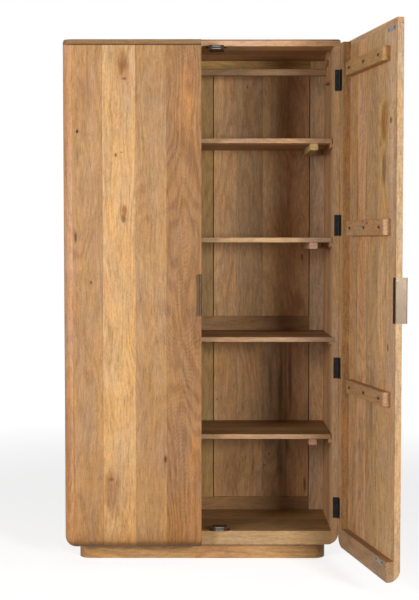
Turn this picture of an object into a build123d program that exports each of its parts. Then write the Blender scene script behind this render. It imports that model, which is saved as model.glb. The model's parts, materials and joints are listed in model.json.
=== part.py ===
from build123d import *
import os

# ---------------------------------------------------------------------------
# Trastero: a tall two-door storage cabinet in solid mango wood.
# Frame: X to the right, Y to the back, Z up, origin on the floor under the
# middle of the case.  Both doors are modelled shut; the right one is then
# turned on its hinge line to the angle at which the cabinet stands open.
# ---------------------------------------------------------------------------

# Case
CASE_W = 1000.0            # over the two sides
CASE_D = 390.0             # front to back
CASE_H = 1903.5            # floor to the upper face of the top board
BOARD = 25.0               # sides
TOP_UNDER = 1879.0         # lower face of the top board
PLINTH_H = 64.5
FLOOR_Z = (89.5, 114.5)    # cabinet floor
BASE_R = 40.0              # lower outer corners of the case, seen from the front
TOP_R = 10.0               # upper outer corners of the case
SIDE_EASE = 3.0            # front outer corners of the sides and the top board
EDGE_EASE = 1.2            # front edges of boards
SILL_D = 25.0              # front to back, of the rail that faces the floor
STRIP_W = 38.0             # strips that thicken the lower edge of the case
STRIP_GAP = 1.0

Y_FRONT = -CASE_D / 2
Y_BACK = CASE_D / 2
X_OUT = CASE_W / 2
X_IN = X_OUT - BOARD

# Framed back: stiles, rails and muntins grooved for four panels
FRAME_Y = Y_FRONT + 357.0  # inner face of the frame
FRAME_T = 25.0
PANEL_Y = (FRAME_Y + 6.0, FRAME_Y + 18.0)
GROOVE_D = 9.0
TONGUE = 8.0
BACK_STILE_W = 55.0
MUNTIN_W = 80.0
TOP_RAIL_Z = (1829.0, TOP_UNDER)
MID_RAIL_Z = (804.0, 884.0)
LOW_RAIL_Z = (PLINTH_H, 165.0)
PANEL_GAP = 3.0            # shadow line between a panel and the members beside it
PANEL_GAP_D = 5.0

# Shelves; the second from the bottom is fixed
SHELF_T = 17.5
SHELF_Z = {"lower": 453.0, "upper": 1173.5, "top": 1532.5}
FIXED_SHELF_Z = 811.0
HOUSING_D = 11.0           # how far the fixed shelf is let into each side
SHELF_SETBACK = 12.0
SHELF_GAP = 3.0            # end of a loose shelf to the side
SHELF_BATTEN_W = 29.0
SHELF_BATTEN_H = 23.5
SHELF_BATTEN_X = 407.5
CLEAT_T = 10.0
CLEAT_H = 18.0
SMALL_CLEAT_H = 12.0       # under the fixed shelf
CLEAT_R = 9.0

# Clothes rail and its brackets
RAIL_Z = (1795.0, 1820.0)
RAIL_Y = (-43.0, -23.0)
BRACKET_T = 13.0
BRACKET_Z = 1762.0
BRACKET_W = 74.0
BRACKET_R = 18.0
SOCKET_D = 8.0

# Plinth
PLINTH_W = 916.0
PLINTH_SETBACK = 50.0
PLINTH_R = 45.0            # depth of the rounded corner pieces
PLINTH_END = 1.0           # flat left between a corner's arc and the side
PLINTH_T = 25.0
PLINTH_BACK = 175.0

# Doors, measured shut
DOOR_GAP = 6.6             # case front to the inner face of the door frame
DOOR_T = 49.0
FACE_T = 22.0              # staved face; the frame pieces behind it take the rest
DOOR_FREE_X = 1.5          # free edge from the middle of the cabinet
DOOR_HINGE_X = 499.3
DOOR_Z = (62.0, 1895.3)
DOOR_R = 39.5              # rounding of the hinge edge and the bottom edge
DOOR_CORNER_R = 40.0       # lower hinge-side corner, seen from the front
DOOR_TOP_R = 9.0           # upper hinge-side corner
DOOR_BACK_EASE = 2.0
CAP_Z = 1877.4             # joint between the staves and the cap strip
QUIRK = 2.5                # groove along that joint
HINGE_STILE_W = 36.0
HINGE_STILE_TOP = 1890.0
BOTTOM_RAIL_TOP = 130.0
# each batten's bottom, top and end nearest the free edge
DOOR_BATTENS = ((634.0, 682.5, 42.0), (1197.0, 1251.0, 50.0), (1765.0, 1814.0, 65.0))
DOOR_BATTEN_LEN = 384.0
BATTEN_CHAMFER = 2.0
BATTEN_END_R = 10.0        # rounding of the battens' ends
BATTEN_SCREWS = (44.0, 192.0, 340.0)   # from the end nearest the free edge
BATTEN_BORE_R = 4.6        # counterbores that the screws sit in
BATTEN_BORE_D = 3.0

Y_INNER = Y_FRONT - DOOR_GAP
Y_OUTER = Y_INNER - DOOR_T
Y_PANEL = Y_OUTER + FACE_T

# Butt hinges
HINGE_X = 496.6
HINGE_Y = Y_FRONT - DOOR_GAP / 2
HINGE_Z = (202.0, 716.0, 1235.0, 1757.0)
HINGE_H = 76.0
LEAF_T = 1.5
LEAF_W = 17.0
BARREL_R = 3.0
BORE_R = 1.55
PIN_R = 1.5
KNUCKLES = 3
KNUCKLE_GAP = 0.35
NOTCH_R = 3.5              # clear round the other leaf's knuckles
OPEN_ANGLE = 102.3

# Handle: bent sheet over the free edge of each door
HANDLE_Z = (910.0, 1060.0)
HANDLE_T = 2.0
HANDLE_INNER = 20.0
HANDLE_REACH = 19.0        # in front of the door face
HANDLE_RETURN = 8.0
HANDLE_BEND = 2.6

# Magnetic catches and their strike plates
CATCH_W = 54.0
CATCH_H = 16.5
CATCH_R = 2.0
CATCH_TAIL_Y = Y_FRONT + 28.0
CATCH_TOP_X = 52.5
CATCH_LOW_X = 64.5
EAR_REACH = 11.0           # screw ears beyond either end of a catch
EAR_T = 3.0
EAR_Y = (Y_FRONT + 5.0, Y_FRONT + 24.0)
POLE_W = 30.0
POLE_T = 1.6
POLE_D = 8.0
POLE_PROUD = 1.0
MAGNET_H = 6.4
MAGNET_SUNK = 0.8
STRIKE_T = 1.5
STRIKE_W = 68.0
STRIKE_H = 16.0
STRIKE_TOP = (54.0, 1866.5)
STRIKE_LOW = (65.0, 119.5)
CATCH_CLEAR = 0.4

SIDES = {"left": -1, "right": 1}
UP = (0, 0, 1)

os.makedirs("parts", exist_ok=True)


def keep(label, part):
    """Name a finished piece and write it."""
    part.label = label
    export_step(part, f"parts/{label}.step")


def mid(a, b):
    """Middle of the stretch between two coordinates."""
    return (a + b) / 2


def block(x, y, z):
    """Rectangular piece between three pairs of coordinates."""
    with BuildPart() as piece:
        with BuildSketch(Plane.XY.offset(min(z))):
            with Locations((mid(*x), mid(*y))):
                Rectangle(abs(x[1] - x[0]), abs(y[1] - y[0]))
        extrude(amount=abs(z[1] - z[0]))
    return piece.part


def eased_board(x, y, z):
    """Board whose long front edges are eased."""
    with BuildPart() as board:
        add(block(x, y, z))
        front = board.faces().sort_by(Axis.Y)[0]
        fillet(front.edges().filter_by(Axis.X), radius=EDGE_EASE)
    return board.part


def swing(part, side):
    """Turn a piece of the right door to the angle at which it stands open."""
    if side == "left":
        return part
    return part.rotate(Axis((HINGE_X, HINGE_Y, 0), UP), OPEN_ANGLE)


# ---------------------------------------------------------------------------
# Case: top, sides, floor and the strips that thicken its lower edge
# ---------------------------------------------------------------------------
with BuildPart() as top_board:
    add(block((-X_OUT, X_OUT), (Y_FRONT, Y_BACK), (TOP_UNDER, CASE_H)))
    fillet(top_board.faces().sort_by(Axis.Z)[-1].edges().filter_by(Axis.Y), radius=TOP_R)
    front_edges = top_board.faces().sort_by(Axis.Y)[0].edges().filter_by(Axis.X)
    fillet(front_edges.sort_by(Axis.Z)[0], radius=EDGE_EASE)
    # rounded corners, as on the sides, so that the doors clear them wide open
    with BuildSketch(Plane.XY.offset(TOP_UNDER)) as plan:
        Rectangle(CASE_W, CASE_D)
        fillet(plan.vertices().group_by(Axis.Y)[0], radius=SIDE_EASE)
    extrude(amount=CASE_H - TOP_UNDER, mode=Mode.INTERSECT)
keep("top_board", top_board.part)

# The rounded lower corners run through sides, sill and strips alike.
with BuildPart() as case_outline:
    with BuildSketch(Plane.XZ.offset(-Y_BACK)) as outline:
        with Locations((0, mid(PLINTH_H, TOP_UNDER))):
            Rectangle(CASE_W, TOP_UNDER - PLINTH_H)
        fillet(outline.vertices().group_by(Axis.Y)[0], radius=BASE_R)
    extrude(amount=CASE_D)

for name, s in SIDES.items():
    with BuildPart() as side_board:
        add(case_outline.part)
        add(block((s * X_IN, s * X_OUT), (Y_FRONT, Y_BACK), (PLINTH_H, TOP_UNDER)),
            mode=Mode.INTERSECT)
        # housing for the fixed shelf
        add(block((s * X_IN, s * (X_IN + HOUSING_D)), (Y_FRONT, FRAME_Y),
                  (FIXED_SHELF_Z, FIXED_SHELF_Z + SHELF_T)), mode=Mode.SUBTRACT)
        outer = side_board.faces().filter_by(Axis.X).sort_by(Axis.X)[0 if s < 0 else -1]
        fillet(outer.edges().filter_by(Axis.Z).sort_by(Axis.Y)[0], radius=SIDE_EASE)
    keep(f"side_{name}", side_board.part)

with BuildPart() as front_sill:
    add(case_outline.part)
    add(block((-X_IN, X_IN), (Y_FRONT, Y_FRONT + SILL_D), (PLINTH_H, FLOOR_Z[1])),
        mode=Mode.INTERSECT)
    front_edges = front_sill.faces().sort_by(Axis.Y)[0].edges().filter_by(Axis.X)
    fillet(front_edges.sort_by(Axis.Z)[-1], radius=EDGE_EASE)
keep("front_sill", front_sill.part)

keep("floor_board", block((-X_IN, X_IN), (Y_FRONT + SILL_D, FRAME_Y), FLOOR_Z))

STRIP_X = X_IN - STRIP_W
with BuildPart() as base_strips:
    add(case_outline.part)
    with BuildSketch(Plane.XY.offset(PLINTH_H)):
        for s in SIDES.values():
            with Locations((s * mid(STRIP_X, X_IN), mid(Y_FRONT + SILL_D, FRAME_Y))):
                Rectangle(STRIP_W, FRAME_Y - Y_FRONT - SILL_D)
        with Locations((0, Y_FRONT + SILL_D + STRIP_W / 2), (0, FRAME_Y - STRIP_W / 2)):
            Rectangle(2 * STRIP_X - STRIP_GAP, STRIP_W)
    extrude(amount=FLOOR_Z[0] - PLINTH_H, mode=Mode.INTERSECT)
keep("base_strips", base_strips.part)

# ---------------------------------------------------------------------------
# Plinth: rounded front rail with short returns, sides, back and a middle brace
# ---------------------------------------------------------------------------
PLINTH_X = PLINTH_W / 2
PLINTH_Y = Y_FRONT + PLINTH_SETBACK
with BuildPart() as plinth_front:
    with BuildSketch() as rail_plan:
        with Locations((0, PLINTH_Y + PLINTH_R / 2)):
            Rectangle(PLINTH_W, PLINTH_R)
        fillet(rail_plan.vertices().group_by(Axis.Y)[0], radius=PLINTH_R - PLINTH_END)
    extrude(amount=PLINTH_H)
    with BuildSketch() as inside:
        with Locations((0, PLINTH_Y + PLINTH_T + PLINTH_R / 2)):
            Rectangle(PLINTH_W - 2 * PLINTH_T, PLINTH_R)
        fillet(inside.vertices().group_by(Axis.Y)[0],
               radius=PLINTH_R - PLINTH_T - PLINTH_END)
    extrude(amount=PLINTH_H, mode=Mode.SUBTRACT)
keep("plinth_front", plinth_front.part)

for name, s in SIDES.items():
    keep(f"plinth_{name}", block((s * (PLINTH_X - PLINTH_T), s * PLINTH_X),
                                 (PLINTH_Y + PLINTH_R, PLINTH_BACK - PLINTH_T), (0, PLINTH_H)))
keep("plinth_back", block((-PLINTH_X, PLINTH_X),
                          (PLINTH_BACK - PLINTH_T, PLINTH_BACK), (0, PLINTH_H)))
keep("plinth_brace", block((-PLINTH_T / 2, PLINTH_T / 2),
                           (PLINTH_Y + PLINTH_T, PLINTH_BACK - PLINTH_T), (0, PLINTH_H)))

# ---------------------------------------------------------------------------
# Framed back: every frame member is grooved, rails and muntins have stub
# tenons in the grooves, and each panel is tongued all round, with a shadow
# line beside the upright members
# ---------------------------------------------------------------------------
FRAME_SPAN = (FRAME_Y, FRAME_Y + FRAME_T)
STILE_X = X_IN - BACK_STILE_W
MUNTIN_X = MUNTIN_W / 2

for name, s in SIDES.items():
    with BuildPart() as stile:
        add(block((s * STILE_X, s * X_IN), FRAME_SPAN, (PLINTH_H, TOP_UNDER)))
        add(block((s * STILE_X, s * (STILE_X + GROOVE_D)), PANEL_Y, (PLINTH_H, TOP_UNDER)),
            mode=Mode.SUBTRACT)
    keep(f"back_stile_{name}", stile.part)

# (lower edge, upper edge, groove below, groove above)
BACK_RAILS = {
    "bottom": (*LOW_RAIL_Z, False, True),
    "mid": (*MID_RAIL_Z, True, True),
    "top": (*TOP_RAIL_Z, True, False),
}
for name, (low, high, groove_low, groove_high) in BACK_RAILS.items():
    with BuildPart() as rail:
        add(block((-STILE_X, STILE_X), FRAME_SPAN, (low, high)))
        add(block((-STILE_X - TONGUE, STILE_X + TONGUE), PANEL_Y, (low, high)))
        if groove_low:
            add(block((-X_IN, X_IN), PANEL_Y, (low, low + GROOVE_D)), mode=Mode.SUBTRACT)
        if groove_high:
            add(block((-X_IN, X_IN), PANEL_Y, (high - GROOVE_D, high)), mode=Mode.SUBTRACT)
    keep(f"back_rail_{name}", rail.part)

BACK_FIELDS = {
    "lower": (LOW_RAIL_Z[1], MID_RAIL_Z[0]),
    "upper": (MID_RAIL_Z[1], TOP_RAIL_Z[0]),
}
for name, (low, high) in BACK_FIELDS.items():
    with BuildPart() as muntin:
        add(block((-MUNTIN_X, MUNTIN_X), FRAME_SPAN, (low, high)))
        add(block((-MUNTIN_X, MUNTIN_X), PANEL_Y, (low - TONGUE, high + TONGUE)))
        for s in SIDES.values():
            add(block((s * (MUNTIN_X - GROOVE_D), s * MUNTIN_X), PANEL_Y,
                      (low - TONGUE, high + TONGUE)), mode=Mode.SUBTRACT)
    keep(f"back_muntin_{name}", muntin.part)

    for side, s in SIDES.items():
        x0, x1 = MUNTIN_X - TONGUE, STILE_X + TONGUE
        with BuildPart() as panel:
            add(block((s * x0, s * x1), PANEL_Y, (low - TONGUE, high + TONGUE)))
            for edge in (MUNTIN_X, STILE_X - PANEL_GAP):
                add(block((s * edge, s * (edge + PANEL_GAP)),
                          (PANEL_Y[0], PANEL_Y[0] + PANEL_GAP_D), (low, high)),
                    mode=Mode.SUBTRACT)
        keep(f"back_panel_{name}_{side}", panel.part)

# ---------------------------------------------------------------------------
# Shelves.  The fixed one sits in housings in the sides; each loose one rests
# on a cleat at either end and is stiffened by two battens underneath
# ---------------------------------------------------------------------------
FIXED_X = X_IN + HOUSING_D
keep("fixed_shelf", eased_board((-FIXED_X, FIXED_X), (Y_FRONT, FRAME_Y),
                                (FIXED_SHELF_Z, FIXED_SHELF_Z + SHELF_T)))

SHELF_FRONT = Y_FRONT + SHELF_SETBACK
SHELF_BACK = FRAME_Y - 2.0
LOOSE_X = X_IN - SHELF_GAP
for name, z in SHELF_Z.items():
    keep(f"shelf_{name}", eased_board((-LOOSE_X, LOOSE_X), (SHELF_FRONT, SHELF_BACK),
                                      (z, z + SHELF_T)))
    with BuildPart() as battens:
        with BuildSketch(Plane.XY.offset(z - SHELF_BATTEN_H)):
            with Locations((-SHELF_BATTEN_X, mid(SHELF_FRONT, SHELF_BACK)),
                           (SHELF_BATTEN_X, mid(SHELF_FRONT, SHELF_BACK))):
                Rectangle(SHELF_BATTEN_W, SHELF_BACK - SHELF_FRONT - 2 * SHELF_SETBACK)
        extrude(amount=SHELF_BATTEN_H)
    keep(f"shelf_battens_{name}", battens.part)

for name, s in SIDES.items():
    with BuildPart() as cleats:
        for z, height in [(z, CLEAT_H) for z in SHELF_Z.values()] + [
                (FIXED_SHELF_Z, SMALL_CLEAT_H)]:
            with BuildSketch(Plane.YZ.offset(s * X_IN)) as cleat_side:
                with Locations((mid(SHELF_FRONT, SHELF_BACK), z - height / 2)):
                    Rectangle(SHELF_BACK - SHELF_FRONT, height)
                # the front end is rounded off below
                fillet(cleat_side.vertices().group_by(Axis.Y)[0].sort_by(Axis.X)[0],
                       radius=CLEAT_R)
            extrude(amount=-s * CLEAT_T)
    keep(f"shelf_cleats_{name}", cleats.part)

# ---------------------------------------------------------------------------
# Clothes rail: a flat bar dropped into slanting slots in two brackets
# ---------------------------------------------------------------------------
BRACKET_X = X_IN - BRACKET_T
RAIL_END = BRACKET_X + SOCKET_D - 0.5
rail_y = mid(*RAIL_Y)
with BuildPart() as hanging_rail:
    add(block((-RAIL_END, RAIL_END), RAIL_Y, RAIL_Z))
    fillet(hanging_rail.edges().filter_by(Axis.X), radius=3.0)
keep("hanging_rail", hanging_rail.part)

for name, s in SIDES.items():
    with BuildPart() as bracket:
        with BuildSketch(Plane.YZ.offset(s * X_IN)) as cheek:
            with Locations((rail_y, mid(BRACKET_Z, TOP_UNDER))):
                Rectangle(BRACKET_W, TOP_UNDER - BRACKET_Z)
            fillet(cheek.vertices().group_by(Axis.Y)[0], radius=BRACKET_R)
        extrude(amount=-s * BRACKET_T)
        # slot: a seat for the bar, open upwards and to the front
        with BuildSketch(Plane.YZ.offset(s * BRACKET_X)):
            with BuildLine():
                seat_low = RAIL_Z[0]
                seat_high = RAIL_Z[1] + 1.0
                mouth_y = rail_y - BRACKET_W / 2 - 1.0
                Polyline((RAIL_Y[1], seat_low), (RAIL_Y[1], seat_high),
                         (mouth_y, seat_high + 30.0), (mouth_y, seat_low + 30.0),
                         (RAIL_Y[0], seat_low + 10.0), (RAIL_Y[0], seat_low), close=True)
            make_face()
        extrude(amount=s * SOCKET_D, mode=Mode.SUBTRACT)
    keep(f"rail_bracket_{name}", bracket.part)

# ---------------------------------------------------------------------------
# Magnetic catches: under the top board, and on the cabinet floor
# ---------------------------------------------------------------------------
CATCHES = {
    # name: (x, height of its seat, side of the seat it is on, face it reaches)
    "top": (CATCH_TOP_X, TOP_UNDER, -1, Y_PANEL + STRIKE_T + CATCH_CLEAR),
    "low": (CATCH_LOW_X, FLOOR_Z[1], 1, Y_INNER + STRIKE_T + CATCH_CLEAR),
}


def catch_pair(cx, width, y, z):
    """Blocks of one width, at the catches of the left and the right door."""
    with BuildPart() as pair:
        for s in SIDES.values():
            add(block((s * cx - width / 2, s * cx + width / 2), y, z))
    return pair.part


magnets, poles = [], []
for name, (cx, seat, up, face_y) in CATCHES.items():
    front = face_y + POLE_PROUD
    back = front + POLE_D
    centre = seat + up * CATCH_H / 2
    magnet_z = (centre - MAGNET_H / 2, centre + MAGNET_H / 2)
    magnets.append(catch_pair(cx, POLE_W, (front + MAGNET_SUNK, back), magnet_z))
    for low in (magnet_z[0] - POLE_T, magnet_z[1]):
        poles.append(catch_pair(cx, POLE_W, (face_y, back), (low, low + POLE_T)))
    with BuildPart() as catch_bodies:
        with BuildSketch(Plane.XY.offset(min(seat, seat + up * CATCH_H))) as plan:
            with Locations((-cx, mid(front, CATCH_TAIL_Y)), (cx, mid(front, CATCH_TAIL_Y))):
                Rectangle(CATCH_W, CATCH_TAIL_Y - front)
            fillet(plan.vertices(), radius=CATCH_R)
        extrude(amount=CATCH_H)
        add(catch_pair(cx, CATCH_W + 2 * EAR_REACH, EAR_Y, (seat, seat + up * EAR_T)))
        add(catch_pair(cx, POLE_W, (front - 1, back),
                       (magnet_z[0] - POLE_T, magnet_z[1] + POLE_T)), mode=Mode.SUBTRACT)
    keep(f"catch_bodies_{name}", catch_bodies.part)

for label, pieces in (("catch_magnets", magnets), ("catch_poles", poles)):
    with BuildPart() as group:
        add(pieces)
    keep(label, group.part)


# ---------------------------------------------------------------------------
# Butt hinges: three knuckles, the middle one on the door leaf, on a fixed pin
# ---------------------------------------------------------------------------
def knuckle_spans(own):
    """Heights of one leaf's knuckles from the foot of the hinge.

    own is 0 for the case leaf, whose knuckles are the first and the last, and 1
    for the door leaf.
    """
    length = (HINGE_H - (KNUCKLES - 1) * KNUCKLE_GAP) / KNUCKLES
    return [(i * (length + KNUCKLE_GAP), i * (length + KNUCKLE_GAP) + length)
            for i in range(own, KNUCKLES, 2)]


def hinge_leaf(s, own, back_y):
    """One leaf at height 0: plate, notches and bored knuckles.

    back_y is the face that the plate is screwed to, and the plate stands off
    it towards the hinge line.
    """
    toward = 1 if back_y < HINGE_Y else -1
    with BuildPart() as leaf:
        add(block((s * (HINGE_X - LEAF_W), s * HINGE_X),
                  (back_y, back_y + toward * LEAF_T), (0, HINGE_H)))
        # room for the knuckles of the other leaf
        for low, high in knuckle_spans(1 - own):
            add(block((s * (HINGE_X - NOTCH_R), s * (HINGE_X + 1)),
                      (back_y - toward, back_y + 2 * toward * LEAF_T),
                      (low - KNUCKLE_GAP, high + KNUCKLE_GAP)), mode=Mode.SUBTRACT)
        for low, high in knuckle_spans(own):
            with BuildSketch(Plane.XY.offset(low)):
                with Locations((s * HINGE_X, HINGE_Y)):
                    Circle(BARREL_R)
            extrude(amount=high - low)
        with BuildSketch():
            with Locations((s * HINGE_X, HINGE_Y)):
                Circle(BORE_R)
        extrude(amount=HINGE_H, mode=Mode.SUBTRACT)
    return leaf.part


def four_times(part):
    """The same hinge piece at each of the four hinge heights."""
    with BuildPart() as group:
        with Locations(*[(0, 0, z - HINGE_H / 2) for z in HINGE_Z]):
            add(part)
    return group.part


for name, s in SIDES.items():
    keep(f"hinge_leaves_case_{name}", four_times(hinge_leaf(s, 0, Y_FRONT)))

    with BuildPart() as pin:
        with BuildSketch():
            with Locations((s * HINGE_X, HINGE_Y)):
                Circle(PIN_R)
        extrude(amount=HINGE_H)
    keep(f"hinge_pins_{name}", four_times(pin.part))

# ---------------------------------------------------------------------------
# Doors: staved face, cap strip, frame pieces and battens behind it.  All of
# them are cut from one envelope, which carries the rounded edges
# ---------------------------------------------------------------------------
for name, s in SIDES.items():
    free, hinge = s * DOOR_FREE_X, s * DOOR_HINGE_X
    outer_end = -1 if s > 0 else 0

    with BuildPart() as envelope:
        with BuildSketch(Plane.XZ.offset(-Y_INNER)) as door_outline:
            with Locations((mid(free, hinge), mid(*DOOR_Z))):
                Rectangle(abs(hinge - free), DOOR_Z[1] - DOOR_Z[0])
            foot = door_outline.vertices().group_by(Axis.Y)[0]
            fillet(foot.sort_by(Axis.X)[outer_end], radius=DOOR_CORNER_R)
        extrude(amount=DOOR_T)
        for end, radius in ((0, DOOR_R), (-1, DOOR_BACK_EASE)):
            face = envelope.faces().filter_by(Axis.Y).sort_by(Axis.Y)[end]
            rim = face.edges()
            upright = rim.filter_by(Axis.Z).sort_by(Axis.X)[outer_end]
            bottom = rim.filter_by(Axis.X).sort_by(Axis.Z)[0]
            corner = rim.filter_by(GeomType.CIRCLE)
            fillet([upright, bottom] + list(corner), radius=radius)
        with BuildSketch(Plane.XZ.offset(-Y_INNER)) as top_outline:
            with Locations((mid(free, hinge), mid(*DOOR_Z))):
                Rectangle(abs(hinge - free), DOOR_Z[1] - DOOR_Z[0])
            head = top_outline.vertices().group_by(Axis.Y)[-1]
            fillet(head.sort_by(Axis.X)[outer_end], radius=DOOR_TOP_R)
        extrude(amount=DOOR_T, mode=Mode.INTERSECT)

    face_y, rear_y = (Y_OUTER, Y_PANEL), (Y_PANEL, Y_INNER)
    with BuildPart() as cap:
        add(envelope.part)
        add(block((free, hinge), face_y, (CAP_Z, DOOR_Z[1])), mode=Mode.INTERSECT)
        add(block((free, hinge), (Y_OUTER, Y_OUTER + QUIRK), (CAP_Z, CAP_Z + QUIRK)),
            mode=Mode.SUBTRACT)
    keep(f"door_cap_{name}", swing(cap.part, name))

    stile_x = hinge - s * HINGE_STILE_W
    with BuildPart() as door_stile:
        add(envelope.part)
        add(block((stile_x, hinge), rear_y, (BOTTOM_RAIL_TOP, HINGE_STILE_TOP)),
            mode=Mode.INTERSECT)
    keep(f"door_stile_{name}", swing(door_stile.part, name))

    with BuildPart() as door_rail:
        add(envelope.part)
        add(block((free, hinge), rear_y, (DOOR_Z[0], BOTTOM_RAIL_TOP)), mode=Mode.INTERSECT)
    keep(f"door_bottom_rail_{name}", swing(door_rail.part, name))

    with BuildPart() as door_battens:
        for low, high, free_end in DOOR_BATTENS:
            with BuildSketch(Plane.XY.offset(low)) as plan:
                with Locations((s * (free_end + DOOR_BATTEN_LEN / 2), mid(*rear_y))):
                    Rectangle(DOOR_BATTEN_LEN, rear_y[1] - rear_y[0])
                fillet(plan.vertices().group_by(Axis.Y)[-1], radius=BATTEN_END_R)
            extrude(amount=high - low)
        long_edges = door_battens.edges().filter_by(Axis.X).group_by(Axis.Y)[-1]
        end_edges = door_battens.edges().filter_by(Axis.Y)
        round_edges = door_battens.edges().filter_by(GeomType.CIRCLE)
        chamfer(long_edges + end_edges + round_edges, length=BATTEN_CHAMFER)
        with BuildSketch(Plane.XZ.offset(-Y_INNER)):
            with Locations(*[(s * (free_end + x), mid(low, high))
                             for low, high, free_end in DOOR_BATTENS for x in BATTEN_SCREWS]):
                Circle(BATTEN_BORE_R)
        extrude(amount=BATTEN_BORE_D, mode=Mode.SUBTRACT)
    keep(f"door_battens_{name}", swing(door_battens.part, name))

    with BuildPart() as handle:
        with BuildSketch(Plane.XY.offset(HANDLE_Z[0])) as section:
            edge_x = s * (DOOR_FREE_X + HANDLE_T / 2)
            tip_y = Y_OUTER - HANDLE_REACH + HANDLE_T / 2
            flange_y = Y_PANEL + HANDLE_T / 2
            with BuildLine() as bends:
                FilletPolyline((edge_x + s * (HANDLE_RETURN - HANDLE_T), tip_y),
                               (edge_x, tip_y), (edge_x, flange_y),
                               (edge_x + s * (HANDLE_INNER - HANDLE_T / 2), flange_y),
                               radius=HANDLE_BEND)
            trace(line_width=HANDLE_T)
        extrude(amount=HANDLE_Z[1] - HANDLE_Z[0])
    keep(f"door_handle_{name}", swing(handle.part, name))

    with BuildPart() as staves:
        add(envelope.part)
        add(block((free, hinge), face_y, (DOOR_Z[0], CAP_Z)), mode=Mode.INTERSECT)
        # recess that lets the handle lie flush with the free edge
        add(block((free, free + s * HANDLE_T), face_y, HANDLE_Z), mode=Mode.SUBTRACT)
        add(handle.part, mode=Mode.SUBTRACT)
    keep(f"door_staves_{name}", swing(staves.part, name))

    with BuildPart() as strikes:
        for (x, z), face in ((STRIKE_TOP, Y_PANEL), (STRIKE_LOW, Y_INNER)):
            with BuildSketch(Plane.XZ.offset(-face - STRIKE_T)):
                with Locations((s * x, z)):
                    RectangleRounded(STRIKE_W, STRIKE_H, BATTEN_CHAMFER)
            extrude(amount=STRIKE_T)
    keep(f"strike_plates_{name}", swing(strikes.part, name))

    leaves = four_times(hinge_leaf(s, 1, Y_INNER))
    keep(f"hinge_leaves_door_{name}", swing(leaves, name))
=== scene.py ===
"""Looks of the trastero cabinet: mango wood boards, blackened hinges, bronzed pulls and the studio."""

import json
import logging
import math
import random
from collections.abc import Iterable, Sequence
from dataclasses import dataclass, field, replace
from enum import Enum
from typing import NamedTuple

import bmesh
import bpy
from mathutils import Matrix, Vector


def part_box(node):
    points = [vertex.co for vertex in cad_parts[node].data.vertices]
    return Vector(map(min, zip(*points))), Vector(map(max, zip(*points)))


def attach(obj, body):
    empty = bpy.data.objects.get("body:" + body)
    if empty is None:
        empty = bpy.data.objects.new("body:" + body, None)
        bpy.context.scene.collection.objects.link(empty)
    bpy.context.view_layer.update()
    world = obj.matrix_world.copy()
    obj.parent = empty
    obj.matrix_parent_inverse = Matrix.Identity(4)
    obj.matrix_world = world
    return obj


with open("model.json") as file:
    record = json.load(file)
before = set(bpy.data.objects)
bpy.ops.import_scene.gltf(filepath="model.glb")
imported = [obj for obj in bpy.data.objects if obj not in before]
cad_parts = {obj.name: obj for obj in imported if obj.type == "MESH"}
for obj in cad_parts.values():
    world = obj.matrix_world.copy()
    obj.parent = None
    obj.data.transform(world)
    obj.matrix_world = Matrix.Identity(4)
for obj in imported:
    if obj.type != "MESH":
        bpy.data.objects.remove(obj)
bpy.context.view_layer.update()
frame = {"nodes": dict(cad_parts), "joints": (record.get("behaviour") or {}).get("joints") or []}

log = logging.getLogger("trastero")

Colour = tuple[float, float, float]
Place = tuple[float, float, float]
Pair = tuple[float, float]
Tones = tuple[Colour, ...]
WHITE: Colour = (1.0, 1.0, 1.0)


# Small helpers ---------------------------------------
def srgb(red: int, green: int, blue: int) -> Colour:
    """Scene-linear colour of an 8-bit sRGB one.

    Args:
        red, green, blue: The colour's channels, 0 to 255.

    Returns:
        The same colour, scene linear.
    """

    def linear(value: int) -> float:
        """One channel, scene linear."""
        part = value / 255
        return part / 12.92 if part <= 0.04045 else ((part + 0.055) / 1.055) ** 2.4

    return linear(red), linear(green), linear(blue)


def scaled(colour: Colour, by: Colour) -> Colour:
    """The colour multiplied channel by channel."""
    return colour[0] * by[0], colour[1] * by[1], colour[2] * by[2]


def mesh_of(name: str, shape: bmesh.types.BMesh) -> bpy.types.Mesh:
    """A mesh made of a shape.

    Args:
        name: The mesh's name.
        shape: The shape, which is freed.

    Returns:
        The mesh.
    """
    mesh = bpy.data.meshes.new(name)
    shape.to_mesh(mesh)
    shape.free()
    return mesh


def placed(name: str, data: bpy.types.ID) -> bpy.types.Object:
    """A new object in the scene.

    Args:
        name: The object's name.
        data: Its mesh, lamp or camera.

    Returns:
        The object.
    """
    thing = bpy.data.objects.new(name, data)
    bpy.context.scene.collection.objects.link(thing)
    return thing


class Side(Enum):
    """The two hands of the cabinet, as the sign of X."""

    LEFT = -1
    RIGHT = 1

    @property
    def word(self) -> str:
        """The hand's name as the nodes spell it."""
        return self.name.lower()


class Grain(Enum):
    """The way the grain runs: (across, through, along) as axes of the frame."""

    UPRIGHT = ("X", "Y", "Z")        # along Z, faces to the front and back
    UPRIGHT_SIDE = ("Y", "X", "Z")   # along Z, faces to the sides
    LEVEL_FLAT = ("Y", "Z", "X")     # along X, faces up and down
    LEVEL_FACE = ("Z", "Y", "X")     # along X, faces to the front and back
    DEEP = ("X", "Z", "Y")           # along Y


# Shader graph ---------------------------------------
Socket = bpy.types.NodeSocket
Value = Socket | Vector | float | tuple


class Noise(NamedTuple):
    """A noise pattern: cells per metre along each axis, finer layers and their strength."""

    scale: Place
    detail: float = 2.0
    rough: float = 0.5


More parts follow.
